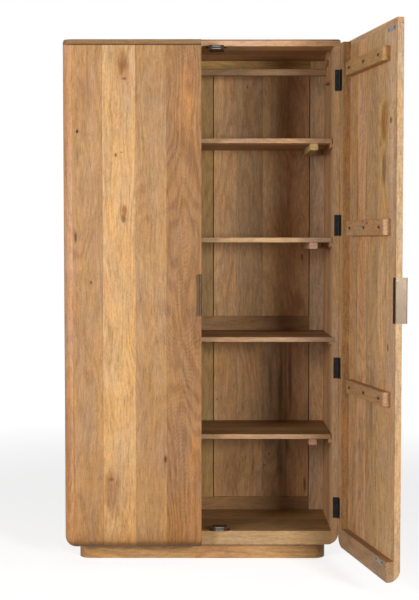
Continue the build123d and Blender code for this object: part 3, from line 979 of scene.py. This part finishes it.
UPPER_PANEL_MARKS = (
    Mark(0.173, 1.78, 0.004, 0.008, (0.35, 0.27, 0.22), 0.9),
    Mark(0.185, 1.7, 0.045, 0.16, (0.84, 0.8, 0.76), 0.8, 0.9, 1.0),
    Mark(0.39, 1.116, 0.004, 0.016, (0.18, 0.12, 0.09), 1.0, 0.5, 0.3),
    Mark(0.165, 1.13, 0.004, 0.02, (0.55, 0.47, 0.42), 0.7),
    Mark(0.37, 0.93, 0.035, 0.06, (0.62, 0.56, 0.5), 0.8, 0.9, 1.0),
    Mark(0.34, 1.72, 0.11, 0.17, (0.68, 0.63, 0.58), 0.9, 0.8, 0.3),
)
LOWER_PANEL_MARKS = (
    Mark(0.11, 0.27, 0.12, 0.16, (0.76, 0.71, 0.64), 0.9, 0.8, 0.4),
    Mark(0.262, 0.335, 0.004, 0.007, (0.26, 0.18, 0.14), 1.0, 0.6, 0.3),
    Mark(0.243, 0.29, 0.004, 0.007, (0.34, 0.25, 0.2), 0.9, 0.6, 0.3),
    Mark(0.056, 0.553, 0.004, 0.006, (0.34, 0.24, 0.18), 0.9, 0.6, 0.3),
    Mark(0.345, 0.63, 0.012, 0.19, (0.34, 0.3, 0.27), 1.0, 0.8, 0.6),
    Mark(0.308, 0.6, 0.014, 0.16, (0.42, 0.38, 0.34), 1.0, 0.9, 0.8),
    Mark(0.268, 0.62, 0.014, 0.17, (0.56, 0.52, 0.48), 1.0, 0.9, 0.8),
    Mark(0.405, 0.21, 0.007, 0.05, (0.4, 0.33, 0.28), 1.0, 0.9, 0.8),
    Mark(0.306, 0.29, 0.022, 0.11, (0.54, 0.49, 0.44), 1.0, 0.9, 0.8),
    Mark(0.198, 0.29, 0.012, 0.11, (0.6, 0.54, 0.5), 1.0, 0.9, 0.8),
    Mark(0.335, 0.38, 0.012, 0.08, (0.4, 0.36, 0.33), 1.0, 0.9, 0.7),
    Mark(0.18, 0.75, 0.03, 0.05, (0.7, 0.66, 0.64), 0.7, 0.9, 0.8),
)


@dataclass
class FramedBack:
    """Stiles, rails, muntins and the four glued panels between them."""

    # painted shade in the gap beside each panel: where it lies and its half width
    gap_at: float = 0.0095
    gap_reach: float = 0.0030
    stave_starts: tuple[float, ...] = (0.133, 0.234, 0.332)
    fleck_count: int = 8
    stile_tone: Colour = srgb(211, 178, 142)
    muntin_tone: Colour = srgb(165, 131, 80)
    rail_tones: Tones = (srgb(150, 113, 73), srgb(149, 111, 71), srgb(172, 138, 84))
    upper_tones: Tones = (srgb(196, 154, 108), srgb(182, 146, 104), srgb(214, 174, 124),
                          srgb(206, 161, 116))
    lower_tones: Tones = (srgb(186, 144, 98), srgb(186, 146, 102), srgb(170, 136, 98),
                          srgb(200, 157, 116))

    def dress_boards(self) -> None:
        """Gives the frame and the panels their wood."""
        for i, side in enumerate(Side):
            lay_wood(f"back_stile_{side.word}", Grain.UPRIGHT, (self.stile_tone,), 50 + i)
        for i, (name, tone) in enumerate(zip(("bottom", "mid", "top"), self.rail_tones)):
            lay_wood(f"back_rail_{name}", Grain.LEVEL_FACE, (tone,), 54 + i)
        for i, (level, tones) in enumerate((("lower", self.lower_tones),
                                            ("upper", self.upper_tones))):
            lay_wood(f"back_muntin_{level}", Grain.UPRIGHT, (self.muntin_tone,), 60 + i)
            self._lay_panel(level, Side.LEFT, tones[::-1], 70 + i)
            self._lay_panel(level, Side.RIGHT, tones, 74 + i)

    def _lay_panel(self, level: str, side: Side, tones: Sequence[Colour], seed: int) -> None:
        """One panel, with painted shade in the gap on either side; the right one has the marks that
        show.

        Args:
            level: Which row it is in.
            side: Which side of the muntin it is on.
            tones: The colour of each stave, in order.
            seed: Fixes the figure.
        """
        node = f"back_panel_{level}_{side.word}"
        low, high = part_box(node)
        staves = strips(low.x, high.x, tones, seed)
        # painted shade in the gap at either edge of the panel
        marks = [Mark(x, (low.z + high.z) / 2, self.gap_reach, 2.0, GAP_SHADE_TINT, 1.0, 0.5, 0.0)
                 for x in (low.x + self.gap_at, high.x - self.gap_at)]
        if side is Side.RIGHT:
            starts = (low.x, *self.stave_starts)
            staves = [replace(s, start=start) for s, start in zip(staves, starts)]
            marks += UPPER_PANEL_MARKS if level == "upper" else self._lower_marks()
        Wood(Grain.UPRIGHT, staves, low.x, high.x, seed, marks).lay_on(node)

    def _lower_marks(self) -> list[Mark]:
        """Knots, dark fields and small flecks of the lower right-hand panel.

        Returns:
            The marks in the order in which they are laid.
        """
        dice = random.Random(3)
        return [*LOWER_PANEL_MARKS] + [
            Mark(dice.uniform(0.14, 0.22), dice.uniform(0.2, 0.4), 0.003, 0.007,
                 (0.55, 0.42, 0.34), 0.8, 0.8, 0.4) for _ in range(self.fleck_count)]


@dataclass
class Shelves:
    """The fixed shelf, the loose ones, their battens and cleats, and the clothes rail."""

    edge_depth: float = 0.005
    edge_tones: Tones = (srgb(177, 142, 107), srgb(177, 139, 103), srgb(188, 154, 119),
                         srgb(184, 144, 108))
    rail_tone: Colour = srgb(146, 112, 78)
    bracket_tone: Colour = srgb(168, 128, 90)
    batten_tones: Tones = (srgb(186, 140, 112), srgb(206, 164, 128), srgb(196, 168, 116))

    def dress_boards(self) -> None:
        """Gives each board its wood."""
        names = ("fixed_shelf", "shelf_lower", "shelf_upper", "shelf_top")
        for i, (node, edge) in enumerate(zip(names, self.edge_tones)):
            low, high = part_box(node)
            seed = 80 + i
            staves = edged(low.y, high.y, edge, self.edge_depth, seed)
            wood = Wood(Grain.LEVEL_FLAT, staves, low.y, high.y, seed, finish=SHELF_WOOD)
            wood.lay_on(node)
        for i, (name, tone) in enumerate(zip(("lower", "upper", "top"), self.batten_tones)):
            lay_wood(f"shelf_battens_{name}", Grain.DEEP, (tone,), 90 + i, finish=BATTEN_WOOD)
        for i, side in enumerate(Side):
            lay_wood(f"shelf_cleats_{side.word}", Grain.DEEP, (FAWN,), 96 + i,
                     finish=BATTEN_WOOD)
            lay_wood(f"rail_bracket_{side.word}", Grain.UPRIGHT_SIDE, (self.bracket_tone,), 100 + i)
        lay_wood("hanging_rail", Grain.LEVEL_FACE, (self.rail_tone,), 110)


OUTER_FACE = -0.2506      # the front of the shut doors
# painted shade in the groove under the door cap
GROOVE_SHADE_TINT: Colour = (0.28, 0.20, 0.14)
GROOVE_REACH = 0.012      # how far the groove's marks reach in from the outer face
DOOR_FINISH = {Side.LEFT: DOOR_WOOD, Side.RIGHT: INNER_WOOD}
CAP_TONES = {Side.LEFT: srgb(147, 113, 73), Side.RIGHT: srgb(204, 164, 124)}

# the five staves of each face, from left to right as seen from the front
FACE_STAVES = {
    Side.LEFT: (
        Stave(-0.500, srgb(205, 154, 112), 0.4),
        Stave(-0.464, srgb(189, 145, 100), 0.4),
        Stave(-0.3565, srgb(214, 169, 117), 0.4),
        Stave(-0.2375, srgb(186, 144, 100), 0.3),
        Stave(-0.127, srgb(163, 120, 79), 0.7, -0.071, 0.76, 0.17),
    ),
    Side.RIGHT: (
        Stave(0.0, srgb(214, 173, 131), 0.3),
        Stave(0.089, srgb(209, 167, 118), 0.5),
        Stave(0.176, srgb(197, 158, 115), 0.4),
        Stave(0.284, srgb(213, 166, 122), 0.6),
        Stave(0.380, srgb(196, 152, 108), 0.4),
    ),
}
LEFT_DOOR_MARKS = (
    Mark(-0.25, 0.1, 0.8, 0.42, (1.0, 0.93, 0.79), 1.0, 1.0, 0.1),
    Mark(-0.3, 1.825, 0.06, 0.075, (0.77, 0.73, 0.7), 0.9, 0.8, 0.4),
    Mark(-0.297, 1.62, 0.062, 0.22, (0.92, 0.91, 0.91), 0.9, 0.8, 0.3),
    # painted shade: darker along the bottom of the door, where the light falls off
    Mark(-0.25, 0.055, 0.6, 0.1, (0.74, 0.71, 0.67), 0.9, 0.8, 0.1),
    Mark(-0.18, 0.38, 0.065, 0.38, (0.88, 0.87, 0.87), 0.9, 0.8, 0.4),
    # painted highlight where the face turns into the rounded hinge edge
    Mark(-0.4665, 1.2, 0.005, 0.75, (1.16, 1.1, 1.06), 0.9, 0.9, 0.15),
    Mark(-0.462, 0.45, 0.003, 0.4, (0.68, 0.58, 0.52), 0.8, 0.9, 0.2),
    Mark(-0.482, 0.45, 0.018, 0.42, (0.84, 0.78, 0.68), 0.9, 0.6, 0.3),
    Mark(-0.445, 1.569, 0.0085, 0.012, (0.66, 0.56, 0.5), 0.9, 0.8, 0.4),
    Mark(-0.445, 1.569, 0.005, 0.008, KNOT_BLACK, 1.0, 0.5, 0.3),
    Mark(-0.445, 1.475, 0.008, 0.06, (0.66, 0.68, 0.74), 0.8, 0.9, 0.5),
    Mark(-0.452, 1.195, 0.015, 0.055, (0.8, 0.78, 0.78), 0.8, 0.9, 0.5),
    Mark(-0.4525, 1.193, 0.0065, 0.034, (0.3, 0.27, 0.3), 1.0, 0.8, 0.3),
    Mark(-0.398, 1.03, 0.012, 0.016, (0.84, 0.72, 0.64), 0.8, 0.9, 0.4),
    Mark(-0.398, 1.03, 0.0048, 0.0065, KNOT_BROWN, 1.0, 0.6, 0.3),
    Mark(-0.42, 1.7, 0.035, 0.11, (0.86, 0.8, 0.76), 0.8, 0.9, 0.9),
    Mark(-0.286, 1.805, 0.03, 0.068, (0.76, 0.64, 0.54), 0.9, 0.9, 0.9),
    Mark(-0.284, 1.8, 0.012, 0.034, (0.7, 0.59, 0.5), 0.9, 0.9, 0.9),
    Mark(-0.279, 1.757, 0.014, 0.008, (0.48, 0.34, 0.26), 1.0, 0.8, 0.5),
    Mark(-0.308, 1.486, 0.0065, 0.0105, KNOT_BROWN, 1.0, 0.7, 0.4),
    Mark(-0.288, 1.495, 0.009, 0.004, (0.6, 0.46, 0.36), 0.9, 0.8, 0.5),
    Mark(-0.279, 1.277, 0.021, 0.045, (0.78, 0.68, 0.6), 0.8, 0.7, 0.4),
    Mark(-0.277, 1.292, 0.014, 0.021, (0.74, 0.57, 0.45), 1.0, 0.6, 0.5),
    Mark(-0.281, 1.259, 0.011, 0.023, (0.56, 0.5, 0.48), 1.0, 0.6, 0.4),
    Mark(-0.3535, 1.62, 0.0035, 0.2, PALE, 0.9, 0.9, 0.2),
    Mark(-0.246, 1.5, 0.007, 0.17, PALE, 0.7, 0.9, 0.3),
    Mark(-0.13, 1.33, 0.0035, 0.24, PALE, 0.7, 0.9, 0.3),
    Mark(-0.29, 0.85, 0.055, 0.45, (1.05, 1.03, 0.94), 0.8, 0.9, 0.6),
    Mark(-0.324, 0.27, 0.038, 0.105, (0.72, 0.63, 0.6), 1.0, 0.6, 0.6),
    Mark(-0.328, 0.316, 0.014, 0.013, (0.62, 0.44, 0.36), 1.0, 0.8, 0.5),
    Mark(-0.132, 0.387, 0.014, 0.04, (0.72, 0.58, 0.48), 0.9, 0.9, 0.5),
    Mark(-0.132, 0.39, 0.006, 0.017, KNOT_BROWN, 1.0, 0.7, 0.4),
    Mark(-0.052, 1.7, 0.065, 0.22, (1.4, 1.3, 1.12), 0.9, 0.8, 0.4),
    Mark(-0.085, 1.55, 0.05, 0.06, (0.84, 0.76, 0.7), 0.8, 0.9, 0.9),
    Mark(-0.028, 0.3, 0.03, 0.3, (1.3, 1.18, 1.0), 0.9, 0.9, 0.5),
    Mark(-0.19, 1.02, 0.045, 0.5, (0.95, 0.96, 0.97), 0.7, 0.9, 0.6),
)
RIGHT_DOOR_MARKS = (
    Mark(0.27, 1.0, 0.268, 20.0, (0.86, 0.8, 0.74), 1.0, 0.12, 0.0,
         OUTER_FACE, 0.020),
    Mark(0.0, 1.0, 0.012, 2.0, (0.84, 0.87, 0.84), 1.0, 0.3, 0.0),
    Mark(0.38, 1.32, 0.009, 0.2, (0.5, 0.38, 0.29), 1.0, 0.9, 0.5),
    Mark(0.29, 1.39, 0.008, 0.14, (0.6, 0.48, 0.38), 0.9, 0.9, 0.8),
    Mark(0.384, 0.95, 0.005, 0.18, (0.66, 0.55, 0.46), 0.8, 0.9, 0.7),
    Mark(0.058, 1.572, 0.014, 0.012, KNOT_BROWN, 1.0, 0.6, 0.5),
    Mark(0.117, 1.575, 0.05, 0.09, (0.8, 0.7, 0.52), 1.0, 0.8, 1.2),
    Mark(0.124, 1.56, 0.032, 0.07, (0.62, 0.56, 0.46), 1.0, 0.9, 1.4),
    Mark(0.15, 1.5, 0.012, 0.02, (0.62, 0.48, 0.36), 0.9, 0.9, 0.9),
    Mark(0.117, 1.41, 0.024, 0.085, (0.5, 0.49, 0.58), 1.0, 0.7, 0.6),
    Mark(0.042, 1.41, 0.03, 0.11, (1.27, 1.34, 1.42), 0.9, 0.8, 0.3),
    Mark(0.071, 0.827, 0.01, 0.018, KNOT_BROWN, 1.0, 0.6, 0.5),
    Mark(0.228, 0.6, 0.022, 0.2, (0.62, 0.58, 0.52), 0.9, 0.9, 0.7),
    Mark(0.262, 0.4, 0.03, 0.08, (0.86, 0.7, 0.56), 0.8, 0.9, 1.2),
    Mark(0.175, 0.366, 0.014, 0.06, (0.8, 0.62, 0.46), 0.8, 0.9, 1.0),
    Mark(0.33, 1.1, 0.03, 0.3, (0.94, 0.84, 0.74), 0.8, 0.9, 0.9),
    Mark(0.24, 1.56, 0.04, 0.12, (0.86, 0.86, 0.86), 0.7, 0.9, 0.9),
    Mark(0.045, 1.6, 0.05, 0.3, (1.12, 1.2, 1.32), 0.9, 0.8, 0.3),
    Mark(0.135, 0.95, 0.05, 0.26, (1.2, 1.22, 1.42), 0.9, 0.7, 0.3),
    Mark(0.33, 0.4, 0.055, 0.28, (0.8, 0.79, 0.74), 0.9, 0.8, 0.3),
    Mark(0.425, 0.42, 0.045, 0.3, (0.94, 0.86, 0.76), 0.9, 0.8, 0.3),
)
FACE_MARKS = {Side.LEFT: LEFT_DOOR_MARKS, Side.RIGHT: RIGHT_DOOR_MARKS}


@dataclass
class Door:
    """One door: its staved face, its frame pieces, battens and strike plates."""

    side: Side
    free_edge: float = 0.0015
    hinge_edge: float = 0.4993
    middle: float = 0.25
    cap_low: float = 1.8774
    cap_high: float = 1.8953
    # cap_line and cap_shade paint the groove's shade as a dark line along the cap's lower edge
    cap_line: float = 0.0003       # the dark line along the cap's lower edge
    cap_shade: Colour = (0.8, 0.75, 0.7)
    rail_low: float = 0.062
    rail_high: float = 0.130
    rail_tone: Colour = srgb(174, 137, 99)
    stile_tone: Colour = srgb(188, 146, 99)
    batten_faces: tuple[Place, ...] = (
        (0.634, 0.6825, 0.042), (1.197, 1.251, 0.050), (1.765, 1.814, 0.065))
    batten_tones: Tones = (srgb(184, 142, 100), srgb(192, 150, 108), srgb(186, 144, 94))
    batten_span: Pair = (0.6, 1.85)
    batten_lead: float = 0.01      # how far below a batten its tone starts
    batten_screws: tuple[float, ...] = (0.044, 0.192, 0.340)

    @property
    def body(self) -> str:
        """The body that the door's pieces ride on."""
        return f"{self.side.word}_door"

    @property
    def joint(self) -> dict:
        """The hinge joint that turns the door."""
        return next(j for j in frame["joints"] if j["name"] == f"{self.body}_hinge")

    @property
    def swing(self) -> float:
        """How far the door stands open, in radians: its joint's range starts where it is shut."""
        return -math.radians(self.joint["range_deg"][0])

    @property
    def pivot(self) -> Pair:
        """The hinge line, seen from above."""
        x, y, _ = self.joint["pos_m"]
        return x, y

    @property
    def turn(self) -> Matrix:
        """The move that carries the shut door to where it stands."""
        pivot = Matrix.Translation((*self.pivot, 0.0))
        return pivot @ Matrix.Rotation(self.swing, 4, "Z") @ pivot.inverted()

    @property
    def ends(self) -> Pair:
        """The shut door's edges, from left to right."""
        low, high = sorted((self.side.value * self.free_edge, self.side.value * self.hinge_edge))
        return low, high

    def screw_places(self) -> list[Pair]:
        """Where the battens' screws are on the shut door, as (X, Z)."""
        return [(self.side.value * (start + inset), (low + high) / 2)
                for low, high, start in self.batten_faces for inset in self.batten_screws]

    def dress_boards(self) -> None:
        """Gives the face, the frame pieces and the battens their wood."""
        seed = 120 + 5 * self.side.value
        s = self.side.value
        face, middle = DOOR_FINISH[self.side], s * self.middle
        # painted shade in the groove under the cap: a dark band on the staves and a dark line along
        # the cap's lower edge
        groove_shade = Mark(middle, self.cap_low, 0.8, 0.0042, GROOVE_SHADE_TINT, 1.0, 0.5, 0.0,
                      OUTER_FACE, GROOVE_REACH)
        self._lay("door_staves", Grain.UPRIGHT, FACE_STAVES[self.side], self.ends, seed,
                  (groove_shade, *FACE_MARKS[self.side]), face)
        tone = CAP_TONES[self.side]
        cap = (Stave(self.cap_low, scaled(tone, self.cap_shade), 0.2),
               Stave(self.cap_low + self.cap_line, tone, 0.2))
        cap_groove_shade = Mark(self.cap_low, middle, 0.0026, 0.8, GROOVE_SHADE_TINT, 1.0, 0.5, 0.0,
                    OUTER_FACE, GROOVE_REACH)
        self._lay("door_cap", Grain.LEVEL_FACE, cap, (self.cap_low, self.cap_high), seed + 1,
                  (cap_groove_shade,), DOOR_WOOD)
        self._lay("door_bottom_rail", Grain.LEVEL_FACE, (Stave(self.rail_low, self.rail_tone),),
                  (self.rail_low, self.rail_high), seed + 2, finish=DOOR_WOOD)
        shade = Mark(s * 0.481, 1.76, 0.06, 0.40, (0.80, 0.79, 0.76), 0.9, 0.9)
        self._lay("door_stile", Grain.UPRIGHT, (Stave(self.ends[0], self.stile_tone),),
                  self.ends, seed + 3, (shade,), face)
        self._lay_battens(seed + 4)

    def _lay_battens(self, seed: int) -> None:
        """Gives the three battens their own tones, darker round each screw.

        Args:
            seed: Fixes the figure.
        """
        staves = [Stave(low - self.batten_lead, tone, 0.3)
                  for (low, _, _), tone in zip(self.batten_faces, self.batten_tones)]
        marks = [Mark(z, x, 0.0080, 0.019, (0.30, 0.22, 0.16), 1.0, 0.7, 0.3)
                 for x, z in self.screw_places()]
        s = self.side.value
        marks += [Mark(1.245, s * 0.250, 0.005, 0.010, (0.45, 0.33, 0.25), 1.0, 0.7, 0.4),
                  Mark(1.24, s * 0.208, 0.006, 0.013, (0.4, 0.29, 0.21), 1.0, 0.7, 0.4)]
        self._lay("door_battens", Grain.LEVEL_FACE, staves, self.batten_span, seed, marks,
                  BATTEN_WOOD)

    def _lay(self, piece: str, grain: Grain, staves: Sequence[Stave], ends: Pair, seed: int,
             marks: Sequence[Mark] = (), finish: WoodFinish = OILED) -> None:
        """Dresses one wooden piece of the door as it lies when the door is shut.

        Args:
            piece: The node's name without its side.
            grain: How its grain runs.
            staves: Its strips.
            ends: Its edges across the grain.
            seed: Fixes the figure.
            marks: Knots, fields and painted shade on it.
            finish: How the wood is finished.
        """
        node = f"{piece}_{self.side.word}"
        Wood(grain, staves, *ends, seed, marks, finish, self.swing, self.pivot).lay_on(node)


FORWARD: Place = (0.0, -1.0, 0.0)
BACKWARD: Place = (0.0, 1.0, 0.0)


@dataclass
class Hardware:
    """Hinges, pulls, catches, strike plates and every screw."""

    hinge_heights: tuple[float, ...] = (0.202, 0.716, 1.235, 1.757)
    hinge_screws: tuple[Pair, ...] = ((0.4845, -0.027), (0.4885, 0.0), (0.4845, 0.027))
    case_leaf_face: float = -0.1965
    door_leaf_face: float = -0.2001
    batten_bore_floor: float = -0.2046
    strike_spots: tuple[Place, ...] = ((0.054, -0.2271, 1.8665), (0.065, -0.2001, 0.1195))
    strike_pitch: float = 0.050
    ear_spots: tuple[Place, ...] = ((0.0525, 1.876, -1.0), (0.0645, 0.1175, 1.0))
    ear_reach: float = 0.0325
    ear_depth: float = -0.1805
    hinge_screw: Screw = Screw(0.0030, 0.0005)
    batten_screw: Screw = Screw(0.0043, 0.0012)
    strike_screw: Screw = Screw(0.0046, 0.0005)
    ear_screw: Screw = Screw(0.0028, 0.0007)

    def dress_metal(self) -> None:
        """Gives each fitting its metal or plastic."""
        black = HINGE_BLACK.material()
        bronze = PULL_BRONZE.material()
        steel = STRIKE_STEEL.material()
        for side in Side:
            for piece in ("hinge_leaves_case", "hinge_leaves_door", "hinge_pins"):
                dress(f"{piece}_{side.word}", black)
            dress(f"door_handle_{side.word}", bronze)
            dress(f"strike_plates_{side.word}", steel)
        brown = CATCH_BROWN.material()
        for node in ("catch_bodies_top", "catch_bodies_low"):
            dress(node, brown)
        dress("catch_magnets", MAGNET_DARK.material())
        dress("catch_poles", POLE_STEEL.material())

    def drive_screws(self, doors: Sequence[Door]) -> None:
        """Puts the screws into the hinges, catches, battens and strike plates.

        Args:
            doors: The doors that carry screws.
        """
        dark = SCREW_DARK.material()
        on_case = ScrewGroup("screws_case", "case", "hinge_black")
        for side in Side:
            s = side.value
            on_case.drive(self.hinge_screw, self._hinge_places(s, self.case_leaf_face), FORWARD)
            for x, z, up in self.ear_spots:
                places = [(s * (x + reach), self.ear_depth, z)
                          for reach in (-self.ear_reach, self.ear_reach)]
                on_case.drive(self.ear_screw, places, (0.0, 0.0, up))
        on_case.finish(dark)
        half = self.strike_pitch / 2
        for door in doors:
            s = door.side.value
            group = ScrewGroup(f"screws_{door.body}", door.body, "hinge_black", door.turn)
            group.drive(self.hinge_screw, self._hinge_places(s, self.door_leaf_face), BACKWARD)
            group.drive(self.batten_screw, [(x, self.batten_bore_floor, z)
                                            for x, z in door.screw_places()], BACKWARD)
            group.drive(self.strike_screw, [(s * (x + reach), y, z)
                                            for x, y, z in self.strike_spots
                                            for reach in (-half, half)], BACKWARD)
            group.finish(dark)

    def _hinge_places(self, s: int, face: float) -> list[Place]:
        """Where the screws of one row of hinge leaves go."""
        return [(s * x, face, height + dz)
                for height in self.hinge_heights for x, dz in self.hinge_screws]


# Studio ---------------------------------------
@dataclass(frozen=True)
class SoftBox:
    """One large white lamp: where it hangs, what it looks at, its size and its power."""

    name: str
    place: Place
    target: Place
    size: Pair
    power: float

    def hang(self) -> None:
        """Puts the lamp into the scene."""
        data = bpy.data.lights.new(self.name, "AREA")
        data.shape = "RECTANGLE"
        data.size, data.size_y = self.size
        data.energy = self.power
        aim = Vector(self.target) - Vector(self.place)
        turn = aim.to_track_quat("-Z", "Y").to_matrix().to_4x4()
        placed(self.name, data).matrix_world = Matrix.Translation(self.place) @ turn


@dataclass
class Studio:
    """Camera, floor, world and lamps."""

    camera_place: Place = (0.0421, -4.532, 1.1776)
    camera_pitch: float = 0.0492
    camera_yaw: float = -0.0034
    focal_px: float = 1193.06
    height_px: int = 600
    film_mm: float = 36.0
    world_light: float = 0.09
    floor_glow: float = 0.75
    glow_span: Pair = (1.2, 4.5)      # where the floor fades to white, from the middle
    floor_diffuse: float = 0.55
    floor_bounce: float = 0.25
    floor_roughness: float = 0.9
    floor_half: float = 12.0
    lamps: tuple[SoftBox, ...] = (
        SoftBox("key_softbox", (2.5, -4.25, 1.35), (0.1, -0.1, 1.0), (0.95, 0.95), 138.0),
        SoftBox("fill_softbox", (-3.66, -3.66, 1.70), (0.0, 0.0, 0.95), (1.4, 1.6), 134.0),
    )

    def set_camera(self) -> None:
        """The camera, with its film fitted to the picture's height."""
        data = bpy.data.cameras.new("camera")
        data.sensor_fit = "VERTICAL"
        data.sensor_height = self.film_mm
        data.lens = self.focal_px * self.film_mm / self.height_px
        camera = placed("camera", data)
        camera.location = self.camera_place
        camera.rotation_euler = (math.pi / 2 - self.camera_pitch, 0.0, -self.camera_yaw)
        bpy.context.scene.camera = camera

    def lay_floor(self) -> None:
        """A pale floor that shows white but keeps the cabinet's shadow."""
        shape = bmesh.new()
        bmesh.ops.create_grid(shape, x_segments=4, y_segments=4, size=self.floor_half)
        floor = placed("studio_floor", mesh_of("studio_floor", shape))
        g = Surface("floor_white")
        g.give({"Base Color": (self.floor_bounce,) * 3, "Roughness": self.floor_roughness})
        matt = g.add("BsdfDiffuse", (self.floor_diffuse,) * 3)
        far = g.length(g.add("TexCoord").outputs["Object"])
        glow = g.add("Emission", WHITE, g.remap(far, *self.glow_span, self.floor_glow, 1.0))
        shown = g.add("AddShader", matt.outputs[0], glow.outputs[0])
        either = g.add("MixShader", g.seen(), g.shader.outputs[0], shown.outputs[0])
        g.feed(g.output.inputs["Surface"], either.outputs[0])
        floor.data.materials.append(g.material)

    def light_world(self) -> None:
        """Even light all round, seen as white."""
        world = bpy.data.worlds.new("studio_world")
        bpy.context.scene.world = world
        g = ShaderGraph(world)
        light, shown = (g.add("Background", WHITE, strength).outputs[0]
                        for strength in (self.world_light, 1.0))
        either = g.add("MixShader", g.seen(), light, shown)
        g.add("OutputWorld", either.outputs[0])

    def build(self) -> None:
        """Sets the whole studio up."""
        bpy.context.scene.view_settings.view_transform = "Standard"
        self.set_camera()
        self.lay_floor()
        self.light_world()
        for lamp in self.lamps:
            lamp.hang()


def main() -> None:
    """Builds the studio and dresses the cabinet piece by piece."""
    logging.basicConfig(level=logging.INFO, format="%(name)s: %(message)s")
    Studio().build()
    Case().dress_boards()
    FramedBack().dress_boards()
    Shelves().dress_boards()
    doors = [Door(side) for side in Side]
    for door in doors:
        door.dress_boards()
    hardware = Hardware()
    hardware.dress_metal()
    hardware.drive_screws(doors)


if __name__ == "__main__":
    main()
